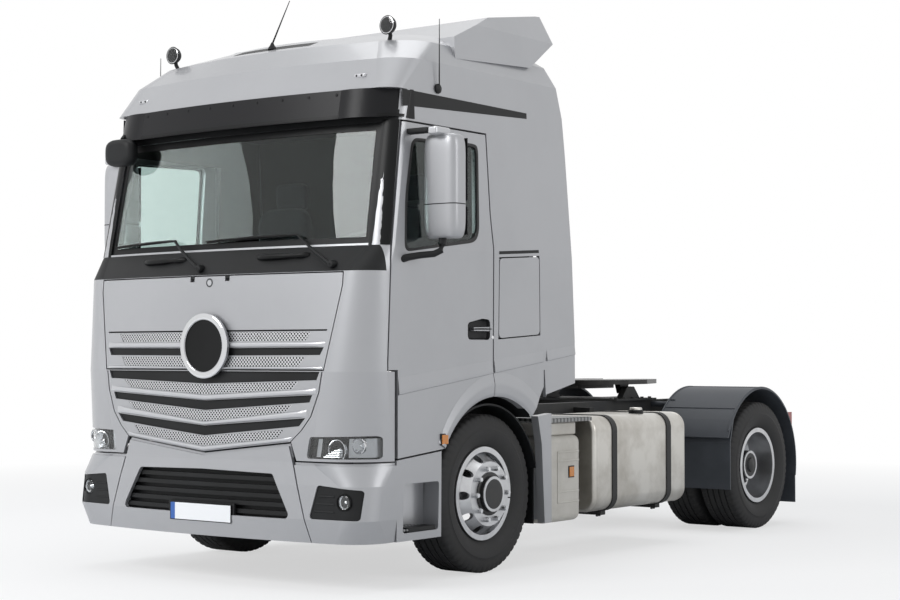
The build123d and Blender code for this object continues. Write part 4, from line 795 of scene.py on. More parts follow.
@dataclass
class Lamps:
    """Headlamps, fog lamps, side markers, roof lamps, marker lamps and aerials."""

    # Per headlamp reflector: its place across the cab, its station, its height and its radius.
    lamp_rims: tuple = ((1008, 112, 826, 62), (1128, 168, 858, 44))
    # The fog lamp's place across the bumper, its station and its height.
    fog: tuple = (1090, 84, 530)
    roof_x: float = 937.0
    roof_height: float = 3428.0

    def _reflector(self, name: str, centre: tuple, radius: float, body: str, depth: float = 34.0) -> None:
        """A bowl, radius falling with the square root of depth, with a bulb cover in its middle.

        Args:
            name: the piece's name.
            centre: the middle of its mouth.
            radius: the bowl's radius.
            body: the CAD body that it moves with.
            depth: how deep the bowl is.
        """
        fall = np.linspace(0, 1, 10)
        inner = np.stack((-depth * fall, radius * np.sqrt(1 - 0.92 * fall)), -1)
        outer = np.array(((-depth - 3, radius * 0.3), (-depth * 0.5, radius + 3), (3, radius + 5),
                          (4, radius + 1)))
        turned(f"{name}_bowl", np.vstack((inner[::-1], outer[::-1]))[::-1], centre, FORWARD, CHROME, body, 40)
        bulb = np.stack((-depth + depth * 0.75 * np.sin(fall * math.pi / 2),
                         radius * 0.34 * np.cos(fall * math.pi / 2)), -1)
        turned(f"{name}_bulb", np.vstack(((-depth, 0), bulb)), centre, FORWARD, CHROME, body, 24)

    def _headlamp(self, side: str, sign: int) -> None:
        """The silver liner, two reflectors and the indicator's ribs behind one lens.

        Args:
            side: the side's name.
            sign: 1 on the left side, -1 on the right.
        """
        t = np.linspace(1.0, 1.96, 26)[None] * sign
        z = np.linspace(786, 905, 10)[:, None]
        sheet(f"headlamp_liner_{side}", CAB.place(t, z, -46), SILVER_TRIM, "cab", FORWARD)
        for index, (x, station, height, radius) in enumerate(self.lamp_rims):
            self._reflector(f"headlamp_{side}_{index}", (sign * x, station, height), radius, "cab")
        for index in range(5):
            t = np.linspace(1.12 + 0.03 * index, 1.34, 14) * sign
            tube(f"indicator_rib_{side}_{index}", CAB.place(t, np.full(14, 788.0 + 10 * index), -26), 3.2,
                 CHROME, "cab", 8)
        brow = CAB.place(np.linspace(1.02, 1.9, 20) * sign, np.linspace(900, 908, 20), -18)
        tube(f"headlamp_brow_{side}", brow, 6, GLOSS_BLACK, "cab", 10)

    def _fog(self, side: str, sign: int) -> None:
        """A fog lamp: bowl, domed lens and black rim, with two ribs beside it.

        Args:
            side: the side's name.
            sign: 1 on the left side, -1 on the right.
        """
        x, station, height = self.fog
        self._reflector(f"fog_{side}", (sign * x, station, height), 44, "chassis", 26)
        dome = np.linspace(0, 1, 8)
        lens = np.stack((2 + 8 * np.sqrt(1 - dome**2), 43 * dome), -1)
        turned(f"fog_lens_{side}", np.vstack((lens, (0, 43), (0, 0))), (sign * x, station, height), FORWARD,
               LENS, "chassis", 36)
        ring = np.stack((5 * np.sin(dome * 2 * math.pi), 48 + 5 * np.cos(dome * 2 * math.pi)), -1)[:-1]
        turned(f"fog_rim_{side}", ring, (sign * x, station - 4, height), FORWARD, GLOSS_BLACK, "chassis", 40,
               closed=False)
        for index in range(3):
            x0, x1 = 880 + index * 12, 1020
            line = BUMPER.front(np.linspace(x0, x1, 10) * sign, np.full(10, 470.0 + 45 * index), -10)
            tube(f"fog_rib_{side}_{index}", line, 6, BLACK, "chassis", 8)

    def _roof(self, side: str, sign: int) -> None:
        """A round roof lamp on its bracket, a marker lamp and a whip aerial.

        Args:
            side: the side's name.
            sign: 1 on the left side, -1 on the right.
        """
        x = sign * self.roof_x
        centre = (x, 662, self.roof_height)
        self._reflector(f"roof_lamp_{side}", centre, 48, "cab", 30)
        shell = ((2, 50), (4, 57), (0, 60), (-6, 58), (-28, 52), (-46, 38), (-58, 16), (-60, 0))
        turned(f"roof_lamp_shell_{side}", shell[::-1], centre, FORWARD, BLACK, "cab", 40)
        dome = np.linspace(0, 1, 8)
        glass = np.vstack((np.stack((2 + 5 * np.sqrt(1 - dome**2), 49 * dome), -1), (-1, 49), (-1, 0)))
        turned(f"roof_lamp_glass_{side}", glass, centre, FORWARD, LENS, "cab", 40)
        tube(f"roof_lamp_foot_{side}", ((x, 690, 3385), (x, 696, 3365), (x * 0.985, 702, 3335),
                                        (x * 0.97, 704, 3296)), 13, BLACK, "cab")
        block(f"marker_lamp_{side}", (x - 44, 392, 3066), (x + 44, 470, 3092), SILVER_TRIM, "cab", 9)
        studs(f"marker_dots_{side}", [(x - 20, 393, 3079), (x + 20, 393, 3079)], FORWARD, 7, 1.5, GLOSS_BLACK,
              "cab", 14)
        wall = sign * (HALF_CAB - 38)
        foot = ((0, 0), (0, 31), (10, 30), (17, 20), (19, 0))
        turned(f"whip_base_{side}", foot, (wall, 822, 3026), sign * LEFT, BLACK, "cab", 28)
        whip = np.linspace((sign * (HALF_CAB - 24), 822, 3026), (sign * (HALF_CAB - 25), 824, 3458), 8)
        tube(f"whip_aerial_{side}", whip, np.linspace(4.5, 2.2, 8), BLACK, "cab", 8)

    def build(self) -> None:
        """Make the lamps of both sides."""
        for side, sign in SIDES:
            self._headlamp(side, sign)
            self._fog(side, sign)
            self._roof(side, sign)
            for name, x, inset, finish in (("", 1246, 7, AMBER), ("_frame", 1242, 0, BLACK)):
                low, high = (sign * x, 799 + inset, 837 + inset), (sign * (x + 12), 877 - inset, 909 - inset)
                block(f"side_marker{name}_{side}", low, high, finish, f"door_{side}_body", 4)
        base = ((0, 0), (0, 30), (10, 27), (30, 14), (46, 7), (46, 0))
        turned("roof_aerial_base", base, (0, 640, 3368), UP, BLACK, "cab", 24)
        aerial = np.linspace((0, 640, 3405), (105, 690, 3682), 10)
        tube("roof_aerial", aerial, np.linspace(6, 2.5, 10), BLACK, "cab", 10)
        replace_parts(bpy.data.objects["roof_lamp_shell_left"], "roof_lamps")


@dataclass
class Front:
    """Black pillars, glass borders, grab handles, wipers, visor screws and the roof hatch's strip."""

    border: float = 46.0
    # Per wiper, across the cab: its pivot, the arm's elbow, and both ends of the blade.
    wipers: tuple = ((-98.0, -416.0, -1050.0, -420.0), (939.0, 617.0, -140.0, 600.0))

    def build(self) -> None:
        """Make what trims the windscreen, the cowl, the visor and the roof front."""
        for side, sign in SIDES:
            z = np.linspace(2040, 2800, 24)[:, None]
            edge = 325 + (z - 1962) * (145 / 826) - 15
            shoulder = np.interp(z, (2040, 2800), (273, 415))
            depth = np.interp(z, (2040, 2800), (85, 90))
            end = 1 + np.arccos(np.clip(1 - (edge - shoulder) / depth, -1, 1)) / (math.pi / 2)
            t = (0.992 + (end - 0.992) * np.linspace(0, 1, 22)[None]) * sign
            sheet(f"pillar_trim_{side}", CAB.place(t, z, 2.0), GLOSS_BLACK, "cab", FORWARD + sign * LEFT)
            self._glass_edge(side, sign)
        t = np.linspace(-1.6, 1.6, 60)[None]
        sheet("header_trim", CAB.place(t, np.array((2786.0, 2806.0, 2830.0, 2860.0))[:, None], 2.0), BLACK,
              "cab", FORWARD)
        x = np.linspace(-1105, 1105, 50)[None]
        for name, low, high in (("top", 2740, 2787), ("bottom", 2052, 2090)):
            z = np.linspace(low, high, 4)[:, None]
            sheet(f"glass_border_{name}", CAB.front(x * (1 if name == "top" else 1.018), z, -9.0),
                  GLOSS_BLACK, "cab", FORWARD)
        for index, x in enumerate((-670.0, 340.0)):
            span = np.linspace(0, 1, 20)
            rise = 1 - np.abs(2 * span - 1) ** 6
            path = CAB.front(x + 380 * span, 1984 + 6 * span, 0)
            path[:, 1] -= 26 * rise - 4
            thick = 15 - 5 * np.exp(-(((span - 0.72) / 0.14) ** 2))
            tube(f"grab_handle_{index}", path, thick, GLOSS_BLACK, "cab", 14, 1.2)
        self._wipers()
        x = np.linspace(-820, 820, 9)
        screws = VISOR_SURFACE.front(x, np.full(9, 2962.0), 0.5)
        studs("visor_screws", screws, FORWARD, 9, 3, BLACK, "cab", 14)
        t = np.linspace(-1.9, 1.9, 80)[None]
        fold = VISOR_SURFACE.place(t, np.linspace(2816, 2834, 4)[:, None], 1.2)
        sheet("visor_hem", fold, GLOSS_BLACK, "cab", FORWARD)
        x = np.linspace(-330, 330, 20)[None]
        hatch = ROOF.front(x, np.linspace(3356, 3392, 5)[:, None], 2.5)
        sheet("roof_hatch_strip", hatch, BLACK, "cab", FORWARD + UP)

    def _wipers(self) -> None:
        """Two wipers: a capped pivot, a sprung arm with a bent tip, and a blade with its rubber lip."""
        for index, (pivot, elbow, start, end) in enumerate(self.wipers):
            name = f"wiper_{index}"
            foot, tip = CAB.front(np.array((pivot, elbow)), np.array((1928.0, 2118.0)), 30.0)
            cap = ((-34, 0), (-34, 24), (0, 24), (10, 20), (14, 0))
            turned(f"{name}_pivot", cap, tuple(foot), FORWARD, BLACK, "cab", 24)
            share = np.linspace(0, 1, 14)[:, None]
            path = foot + (tip - foot) * share
            path[:, 1] -= 16 * np.sin(math.pi * share[:, 0])
            tube(f"{name}_arm", path, np.linspace(17, 9, 14), BLACK, "cab", 12, 0.6)
            x = np.linspace(start, end, 24)
            along = (x - start) / (end - start)
            blade = CAB.front(x, 2102 + 20 * along, 16.0)
            tube(f"{name}_blade", blade, 4 + 7 * np.sin(math.pi * along) ** 0.6, GLOSS_BLACK, "cab", 10, 0.8)
            lip = CAB.front(x, 2096 + 20 * along, 7.0)
            tube(f"{name}_rubber", lip, 4.0, RUBBER, "cab", 8)
            reach = np.linspace(0, 1, 12)
            middle = CAB.front(elbow + (start + (end - start) * 0.52 - elbow) * reach, 2118 - 4 * reach, 27.0)
            tube(f"{name}_tip", middle, np.linspace(8, 7, 12), BLACK, "cab", 10, 0.7)
        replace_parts(bpy.data.objects["wiper_0_arm"], "wipers")

    def _glass_edge(self, side: str, sign: int) -> None:
        """The black printed border down one side of the windscreen, just inside the glass.

        Args:
            side: the side's name.
            sign: 1 on the left side, -1 on the right.
        """
        z = np.linspace(2052, 2788, 20)[:, None]
        outer = 1128 - (z - 2052) * (24 / 736)
        x = sign * (outer - self.border * np.linspace(0, 1, 4)[None])
        heights = [2040, 2800]
        x = np.sign(x) * np.minimum(np.abs(x), np.interp(z, heights, (1118, 1108)))
        sheet(f"glass_border_{side}", CAB.front(x, z, -9.0), GLOSS_BLACK, "cab", FORWARD)


# ------------------------------------------------------------------ mirrors
@dataclass
class Mirrors:
    """The two door mirrors: rounded head, glass, folding seam and black arms; and the ramp mirror."""

    middle_x: float = 1403.5
    middle_at: float = 637.5
    half_x: float = 124.0
    half_depth: float = 75.0
    bottom: float = 2087.0
    top: float = 2710.0
    squareness: float = 4.0
    glass_at: float = 707.0
    seam: float = 2290.0
    seam_swell: float = 1.006
    # The middle line of the arm below the head, from the door up, for the left side.
    foot: tuple = ((1190, 425, 1956), (1232, 440, 1960), (1265, 466, 1972), (1310, 520, 1984),
                   (1372, 572, 1992), (1400, 600, 2012), (1403, 612, 2050), (1403, 616, 2100))

    def _ring(self, height: Array, sign: int, count: int = 44) -> Array:
        """Superellipse sections: |x/a|^n + |y/b|^n = 1, drawn in towards both ends of the head.

        Args:
            height: the height of each section.
            sign: 1 on the left side, -1 on the right.
            count: how many points a ring has.

        Returns:
            One ring of points for each height.
        """
        angle = circle(count)[None]
        share = np.abs(2 * (height[:, None] - self.bottom) / (self.top - self.bottom) - 1)
        size = np.clip(1 - np.clip(share, 0, 1) ** 9, 0, 1) ** 0.5 * 0.28 + 0.72
        power = 2 / self.squareness
        x = self.middle_x + self.half_x * size * signed_power(np.cos(angle), power)
        y = self.middle_at + self.half_depth * size * signed_power(np.sin(angle), power)
        return join(sign * x, np.minimum(y, self.glass_at), height[:, None])

    def build(self) -> None:
        """Make both mirrors."""
        for side, sign in SIDES:
            body = f"door_{side}_body"
            share = 0.5 - 0.5 * np.cos(np.linspace(0, math.pi, 30))
            height = self.bottom + (self.top - self.bottom) * share
            shell = closed_loft(f"mirror_shell_{side}", self._ring(height, sign), SILVER, body)
            seam = self._ring(np.linspace(self.seam - 3, self.seam + 3, 2), sign)
            middle = np.array((sign * self.middle_x, self.middle_at))
            seam[..., :2] = (seam[..., :2] - middle) * self.seam_swell + middle
            closed_loft(f"mirror_seam_{side}", seam, BLACK, body)
            for name, low, high in (("main", 2320, 2680), ("wide", 2115, 2270)):
                edge = self._ring(np.linspace(low, high, 2), sign, 4)[:, ::2, 0]
                near, far = sorted((float(edge.min()), float(edge.max())))
                for kind, finish, inset, back, out, past in (("glass", CHROME, 14, 2, 3, 0),
                                                             ("rim", GLOSS_BLACK, 6, 4, 1.5, 8)):
                    corner = (near + inset, self.glass_at - back, low - past)
                    opposite = (far - inset, self.glass_at + out, high + past)
                    block(f"mirror_{kind}_{name}_{side}", corner, opposite, finish, body, 2)
            block(f"mirror_arm_{side}", (sign * 1190, 503, 2714), (sign * 1375, 560, 2748), BLACK, body, 12)
            block(f"mirror_arm_end_{side}", (sign * 1372, 503, 2700), (sign * 1437, 655, 2750), SILVER_TRIM,
                  body, 14)
            tube(f"mirror_foot_{side}", np.array(self.foot) * (sign, 1, 1), (30, 30, 27, 25, 25, 26, 28, 28),
                 BLACK, body, 16, 0.8)
            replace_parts(shell, f"mirror_{side}")
        self._ramp()

    def _ramp(self) -> None:
        """The ramp mirror: a rounded black head hung on a curved arm from the roof's front corner."""
        angle = circle(40)[None]
        station = np.array((247, 250, 258, 272, 300, 318, 327, 329), float)[:, None]
        size = np.array((0.62, 0.76, 0.88, 0.96, 1.0, 0.98, 0.94, 0.90))[:, None]
        x = -1040 + 132 * size * signed_power(np.cos(angle), 0.6)
        z = 2735 + 92 * size * signed_power(np.sin(angle), 0.6)
        head = closed_loft("ramp_mirror_head", join(x, station, z), BLACK, "cab")
        path = ((-1040, 300, 2800), (-1042, 306, 2828), (-1052, 330, 2848), (-1068, 372, 2862),
                (-1080, 418, 2868))
        tube("ramp_mirror_arm", path, (15, 15, 14, 14, 16), BLACK, "cab", 12)
        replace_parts(head, "ramp_mirror")


# ------------------------------------------------------------------ wheels
@dataclass
class Wheels:
    """Tyres with four grooves and shoulder notches, hub caps and wheel nuts."""

    columns: int = 360
    notch: float = 7.0
    # Half a tyre's profile of (across, radius): the side wall from the bead out, then the tread inwards.
    wall: tuple = ((110, 302), (132, 326), (148, 358), (156, 392), (157, 410), (154, 414), (153, 432),
                   (148, 460), (141, 483), (134, 495), (127, 502), (118, 505))
    tread: tuple = ((80, 505), (79, 491), (71, 491), (70, 505), (30, 505), (29, 491), (21, 491), (20, 505))
    # Where the caps' faces stand across the truck, and their profiles of (outward, radius).
    front_cap_at: float = 1229.0
    rear_cap_at: float = 1137.0
    front_disc_at: float = 1193.0
    rear_disc_at: float = 914.0
    front_cap: tuple = ((-30, 0), (-30, 113.5), (-6, 113.5), (-1, 108), (0.4, 90), (0.6, 84), (0.6, 0))
    rear_cap: tuple = ((-150, 0), (-150, 113.5), (-14, 113.5), (-4, 106), (0.5, 92), (0.5, 60), (14, 54),
                       (22, 34), (24, 0))
    hub_ring: tuple = ((-34, 112), (-34, 134), (-31, 138), (-28, 134), (-28, 112))
    nut_circle: float = 167.5
    valve: tuple = ((0, 0), (0, 5), (38, 4), (40, 0))

    def _tyre(self, centre: float) -> Array:
        """A tyre's points: its profile turned about the axle, with the shoulders notched every sixth column.

        Args:
            centre: where its middle is across the truck.

        Returns:
            (columns, profile points, 3) places about the axle.
        """
        half = np.array(self.wall + self.tread, float)
        other = half[::-1] * (-1, 1)
        profile = np.vstack((half, other, ((-110, 288), (110, 288))))
        angle = circle(self.columns)
        shoulder = (np.abs(profile[:, 0]) > 117) & (profile[:, 1] > 480)
        cut = self.notch * (np.arange(self.columns) % 6 < 2)[:, None] * shoulder[None]
        radius = profile[None, :, 1] - cut
        return join(centre + profile[None, :, 0], radius * np.cos(angle)[:, None],
                    radius * np.sin(angle)[:, None])

    def _place(self, name: str, centres: tuple, at: float, body: str, node: str) -> None:
        """Join the tyres of one hub into a piece that stands for its CAD node.

        Args:
            name: the piece's name.
            centres: where the tyres' middles are across the truck.
            at: the axle's station.
            body: the CAD body that it moves with.
            node: the CAD node's name.
        """
        tyres = [self._tyre(centre) for centre in centres]
        rows, columns = tyres[0].shape[:2]
        points = np.vstack([tyre.reshape(-1, 3) for tyre in tyres]) + (0, at, HUB_HEIGHT)
        quads = np.array(grid_faces(rows, columns, True, True))
        faces = np.vstack([quads + rows * columns * index for index in range(len(tyres))]).tolist()
        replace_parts(make_piece(name, points, faces, TYRE, body, True), node)

    def build(self) -> None:
        """Make the tyres and dress the hubs of both axles."""
        for side, sign in SIDES:
            outward = sign * LEFT
            front, rear = f"front_wheel_{side}", f"rear_wheel_{side}"
            self._place(f"tyre_front_{side}", (sign * 1021.0,), FRONT_AXLE, front, f"front_tyre_{side}")
            self._place(f"tyres_rear_{side}", (sign * 730.0, sign * 1074.0), REAR_AXLE, rear,
                        f"rear_tyres_{side}")
            hubs = ((front, FRONT_AXLE, self.front_cap_at, self.front_cap, self.front_disc_at),
                    (rear, REAR_AXLE, self.rear_cap_at, self.rear_cap, self.rear_disc_at))
            for body, at, cap_face, cap, face in hubs:
                turned(f"{body}_cap", cap, (sign * cap_face, at, HUB_HEIGHT), outward, HUB, body, 48)
                ring = wheel_arc(sign * (face + 29), at, self.nut_circle, circle(10))
                studs(f"{body}_nut_caps", ring, outward, 13, 9, CHROME, body, 12)
                foot = (sign * (face - 52), at + 247, HUB_HEIGHT - 40)
                turned(f"{body}_valve", self.valve, foot, outward, GLOSS_BLACK, body, 10)
            centre = (sign * self.front_cap_at, FRONT_AXLE, HUB_HEIGHT)
            turned(f"{front}_hub_ring", self.hub_ring, centre, outward, HUB, front, 48, closed=False)


# ------------------------------------------------------------------ sides of the cab
@dataclass
class Sides:
    """Window rubbers, door handles, pressed ridges, arch flares and liners, gutters and roof strips."""

    window: tuple = ((455, 2010), (1158, 2105), (1203, 2163), (1222, 2690), (1190, 2712), (560, 2690),
                     (480, 2340))
    # The band's lower and upper line: its height at the front end, then at the rear end.
    ridges: tuple = ((1147.0, 1389.0), (1253.0, 1457.0))
    ridge_ends: tuple = (376.0, 2316.0)
    # Per length of the band: what it is on, its first and its last station.
    pieces: tuple = (("door", 391.0, 1350.0), ("cab", 1372.0, 1930.0), ("cab", 1970.0, 2312.0))
    grip: tuple = ((1236, 1140, 1551), (1240, 1160, 1551), (1240, 1240, 1553), (1240, 1325, 1553),
                   (1237, 1345, 1553))
    flare_inner: float = 622.0
    flare_width: float = 152.0
    flare_front_width: float = 74.0

    @staticmethod
    def rounded(corners: Array, radius: float, per_corner: int = 6) -> Array:
        """A closed line through corners, each swapped for a curve that blends its two neighbours.

        Args:
            corners: rows of two coordinates, one for each corner.
            radius: how far from a corner its curve starts.
            per_corner: how many points each curve has.

        Returns:
            The points of the rounded line.
        """
        corners = np.array(corners, float)
        before, after = np.roll(corners, 1, 0) - corners, np.roll(corners, -1, 0) - corners
        start, end = (corners + way / length * np.minimum(radius, length * 0.45)
                      for way, length in ((way, np.linalg.norm(way, axis=1, keepdims=True))
                                          for way in (before, after)))
        s = np.linspace(0, 1, per_corner)[None, :, None]
        curve = start[:, None] * (1 - s) ** 2 + corners[:, None] * 2 * s * (1 - s) + end[:, None] * s**2
        return curve.reshape(-1, 2)

    def _rubber(self, side: str, sign: int, body: str) -> None:
        """A black border round the door's window: two closed lines joined by a band.

        Args:
            side: the side's name.
            sign: 1 on the left side, -1 on the right.
            body: the CAD body that it moves with.
        """
        line = self.rounded(self.window, 60)
        middle = line.mean(0)
        away = (line - middle) / np.linalg.norm(line - middle, axis=1, keepdims=True)
        rows = []
        for reach, lift in ((-14, -14), (-12, 0.5), (0, 2.5), (9, 2.5), (12, 0.8), (12, -1)):
            spot = line + away * reach
            rows.append(CAB.side(spot[:, 0], spot[:, 1], sign, lift))
        ring = np.stack(rows, 1)
        closed_loft(f"window_rubber_{side}", ring, RUBBER, body, True, True)

    def _ridge(self, side: str, sign: int) -> None:
        """The pressed band along the side: it stands out at its lower line and runs out at its upper one.

        Args:
            side: the side's name.
            sign: 1 on the left side, -1 on the right.
        """
        (low_front, low_rear), (high_front, high_rear) = self.ridges
        start, end = self.ridge_ends
        for number, (kind, near, far) in enumerate(self.pieces):
            station = np.linspace(near, far, 30)[:, None]
            along = (station - start) / (end - start)
            low = low_front + (low_rear - low_front) * along
            high = high_front + (high_rear - high_front) * along
            share = np.array(((0.0, 0.05, 0.12, 0.35, 0.65, 1.0),))
            lift = np.array(((0.3, 6.0, 7.0, 5.0, 2.8, 0.3),))
            z = low + (high - low) * share
            body = f"door_{side}_body" if kind == "door" else "cab"
            grid = join(sign * (HALF_CAB + lift), station, z)
            sheet(f"side_band_{number}_{side}", grid, SILVER, body, sign * LEFT)

    def _flare(self, side: str, sign: int) -> None:
        """The arch's lip: its offset rises, peaks at half the width and falls to the outer edge.

        Args:
            side: the side's name.
            sign: 1 on the left side, -1 on the right.
        """
        for body, low, high in ((f"door_{side}_body", 92.6, 150.0), ("cab", 50.5, 92.2)):
            angle = np.radians(np.linspace(low, high, 60))[:, None]
            share = np.linspace(0, 1, 13)[None]
            front = np.clip((np.degrees(angle) - 95) / 55, 0, 1)
            width = self.flare_width + (self.flare_front_width - self.flare_width) * front**0.8
            lift = np.interp(share, (0, 0.04, 0.5, 1), (0.5, 7.0, 13.0, 0.4))
            grid = wheel_arc(sign * (HALF_CAB + lift), FRONT_AXLE, self.flare_inner + width * share, angle)
            sheet(f"arch_flare_{body}", grid, SILVER, body, sign * LEFT)

    def _handle(self, side: str, sign: int, body: str) -> None:
        """A black liner in the handle's recess, and the grip across it.

        Args:
            side: the side's name.
            sign: 1 on the left side, -1 on the right.
            body: the CAD body that it moves with.
        """
        recess = np.array(((1087, 1486), (1323, 1486), (1323, 1610), (1240, 1616), (1087, 1588)), float)
        line = self.rounded(recess, 30)
        middle = line.mean(0)
        rows = []
        for shrink, depth in ((1.0, -0.6), (0.985, -3), (0.95, -22), (0.85, -28.5), (0.4, -29), (0.02, -29)):
            spot = middle + (line - middle) * shrink
            rows.append(join(sign * (HALF_CAB + depth), spot[:, 0], spot[:, 1]))
        grid = np.stack(rows, 1)
        grid = np.vstack((grid, grid[:1]))
        sheet(f"handle_liner_{side}", grid, BLACK, body, sign * LEFT)
        tube(f"handle_grip_{side}", np.array(self.grip) * (sign, 1, 1), (8, 13, 14, 14, 9), GLOSS_BLACK, body,
             14, 0.35)
        lock = (sign * (HALF_CAB - 1), 1352, 1500)
        turned(f"door_lock_{side}", ((0, 0), (0, 12), (3, 11), (4, 9), (3, 0)), lock, sign * LEFT, CHROME,
               body, 24)

    def _strip(self, side: str, sign: int) -> None:
        """The black strip that narrows rearwards where the roof meets the cab's side.

        Args:
            side: the side's name.
            sign: 1 on the left side, -1 on the right.
        """
        station = np.linspace(470, 1790, 40)[:, None]
        share = (station - 470) / 1320
        top, bottom = 2986 - 6 * share, 2885 + 58 * share
        z = bottom + (top - bottom) * np.linspace(0, 1, 5)[None]
        sheet(f"roof_strip_{side}", CAB.side(station, z, sign, 1.2), BLACK, "cab", sign * LEFT)

    def _arch_liner(self, side: str, sign: int) -> None:
        """The black inner skin of the arch, a quarter drum just inside the cab's edge.

        Args:
            side: the side's name.
            sign: 1 on the left side, -1 on the right.
        """
        angle = np.radians(np.linspace(48, 92, 24))[:, None]
        x = np.linspace(700, 1224, 6)[None]
        sheet(f"arch_liner_{side}", wheel_arc(sign * x, FRONT_AXLE, 636, angle), BLACK, "cab", -UP)

    def build(self) -> None:
        """Make both sides."""
        for side, sign in SIDES:
            body = f"door_{side}_body"
            self._rubber(side, sign, body)
            self._handle(side, sign, body)
            self._flare(side, sign)
            self._arch_liner(side, sign)
            self._ridge(side, sign)
            self._strip(side, sign)
            station = np.linspace(1425, 1880, 20)[:, None]
            z = 2042 + (station - 1423) * 0.0646 + np.array(((-10.0, 0.0, 10.0),))
            sheet(f"locker_gutter_{side}", CAB.side(station, z, sign, 0.9), BLACK, "cab", sign * LEFT)


# ------------------------------------------------------------------ side equipment
@dataclass
class Equipment:
    """Tanks, battery box, exhaust box, steps and the plates between them."""

    tank_x: tuple = (565.0, 1225.0)
    tank_z: tuple = (297.0, 961.0)
    tank_corner: float = 105.0
    # Per tank: its side's name and sign, its first and its last station.
    tanks: tuple = (("left", 1, 2594.0, 3873.0), ("right", -1, 2870.0, 3873.0))
    end_round: float = 26.0
    strap_inset: float = 260.0
    # Per bracket: its name, its side, its station, its bottom and its top.
    brackets: tuple = (("battery_front", 1, 2050, 760, 830), ("battery_rear", 1, 2340, 760, 830),
                       ("exhaust_front", -1, 2050, 770, 840), ("exhaust_rear", -1, 2640, 770, 840))

    def _section(self, shrink: Array, sign: int, station: Array) -> Array:
        """Rounded oblongs: a corner arc at each quarter turn, drawn in by a margin at each station.

        Args:
            shrink: how far each section is drawn in.
            sign: 1 on the left side, -1 on the right.
            station: the station of each section.

        Returns:
            One ring of points for each station.
        """
        quarter = np.linspace(0, math.pi / 2, 10)
        angle = (quarter[None] + np.arange(4)[:, None] * math.pi / 2).reshape(-1)
        corner = np.repeat(np.array(((1, 1), (-1, 1), (-1, -1), (1, -1))), 10, axis=0)
        half = np.array((self.tank_x[1] - self.tank_x[0],
                         self.tank_z[1] - self.tank_z[0])) / 2 - self.tank_corner
        middle = np.array((sum(self.tank_x) / 2, sum(self.tank_z) / 2))
        radius = self.tank_corner - shrink[:, None]
        x = middle[0] + corner[:, 0] * half[0] + radius * np.cos(angle)
        z = middle[1] + corner[:, 1] * half[1] + radius * np.sin(angle)
        return join(sign * x, station[:, None], z)

    def _tank(self, name: str, sign: int, start: float, end: float) -> Piece:
        """A tank whose ends turn in along a quarter circle, with a pressed bead and a filler cap.

        Args:
            name: the side's name.
            sign: 1 on the left side, -1 on the right.
            start: its first station.
            end: its last station.

        Returns:
            The tank's body.
        """
        turn = np.linspace(0, math.pi / 2, 8)
        inset = self.end_round * (1 - np.sin(turn))
        along = self.end_round * (1 - np.cos(turn))
        station = np.concatenate((start + along, end - along[::-1]))
        shrink = np.concatenate((inset, inset[::-1]))
        tank = closed_loft(f"tank_{name}", self._section(shrink, sign, station), TANK, "chassis")
        for number, (edge, way) in enumerate(((start, 1), (end, -1))):
            stations = edge + way * np.array((30.0, 33.0, 38.0, 41.0))
            bead = self._section(np.array((1.0, -2.0, -2.0, 1.0)), sign, stations)
            closed_loft(f"tank_bead_{name}_{number}", bead, TANK, "chassis")
        centre = (sign * 1080, end - 480, 950)
        collar = ((0, 0), (0, 54), (34, 54), (38, 50), (38, 0))
        turned(f"tank_collar_{name}", collar, centre, UP, BLACK, "chassis", 40)
        cap = ((36, 0), (36, 47), (50, 46), (55, 40), (55.5, 0))
        turned(f"tank_cap_{name}", cap, centre, UP, TANK, "chassis", 40)
        for station in (start + self.strap_inset, end - self.strap_inset):
            spots = [(sign * 1090, station + shift, 262) for shift in (-16, 16)]
            studs(f"strap_bolts_{name}_{int(station)}", spots, -UP, 9, 12, FRAME_BLACK, "chassis")
        return tank

    def _boxes(self) -> None:
        """The battery box's grooved door and the amber reflector; ribs on the exhaust box."""
        battery = block("battery_box", (570, 1986, 264), (1211, 2449, 846), BOX_GREY, "chassis", 52)
        exhaust = block("exhaust_box", (-1211, 1986, 301), (-571, 2759, 879), BOX_GREY, "chassis", 56)
        for box_piece in (battery, exhaust):
            box_piece.modifiers["edges"].segments = 8
            box_piece.data.polygons.foreach_set("use_smooth", np.full(6, True))
        for name, sign, at, low, high in self.brackets:
            block(f"{name}_bracket", (sign * 386, at, low), (sign * 600, at + 60, high), FRAME_BLACK,
                  "chassis", 5)
        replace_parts(battery, "side_boxes")
        for index, height in enumerate((735.0, 675.0, 467.0, 397.0)):
            block(f"battery_rib_{index}", (1207, 2150, height - 7), (1217, 2412, height + 7), BOX_GREY,
                  "chassis", 4)
        block("battery_rib_upright", (1207, 2146, 390), (1217, 2160, 742), BOX_GREY, "chassis", 4)
        block("battery_reflector_frame", (1207, 2282, 558), (1216, 2352, 638), BLACK, "chassis", 3)
        block("battery_reflector", (1210, 2289, 565), (1220, 2345, 631), AMBER, "chassis", 3)
        block("battery_hood", (660, 1996, 847), (1178, 2430, 934), BOX_GREY, "chassis", 12)
        block("battery_hood_plate", (700, 2000, 934), (1203, 2300, 939), PLATE_METAL, "chassis", 1.5)
        for index, station in enumerate(np.linspace(2050, 2700, 6)):
            block(f"exhaust_rib_{index}", (-1211, station - 26, 380), (-1218, station + 26, 800), BOX_GREY,
                  "chassis", 3)

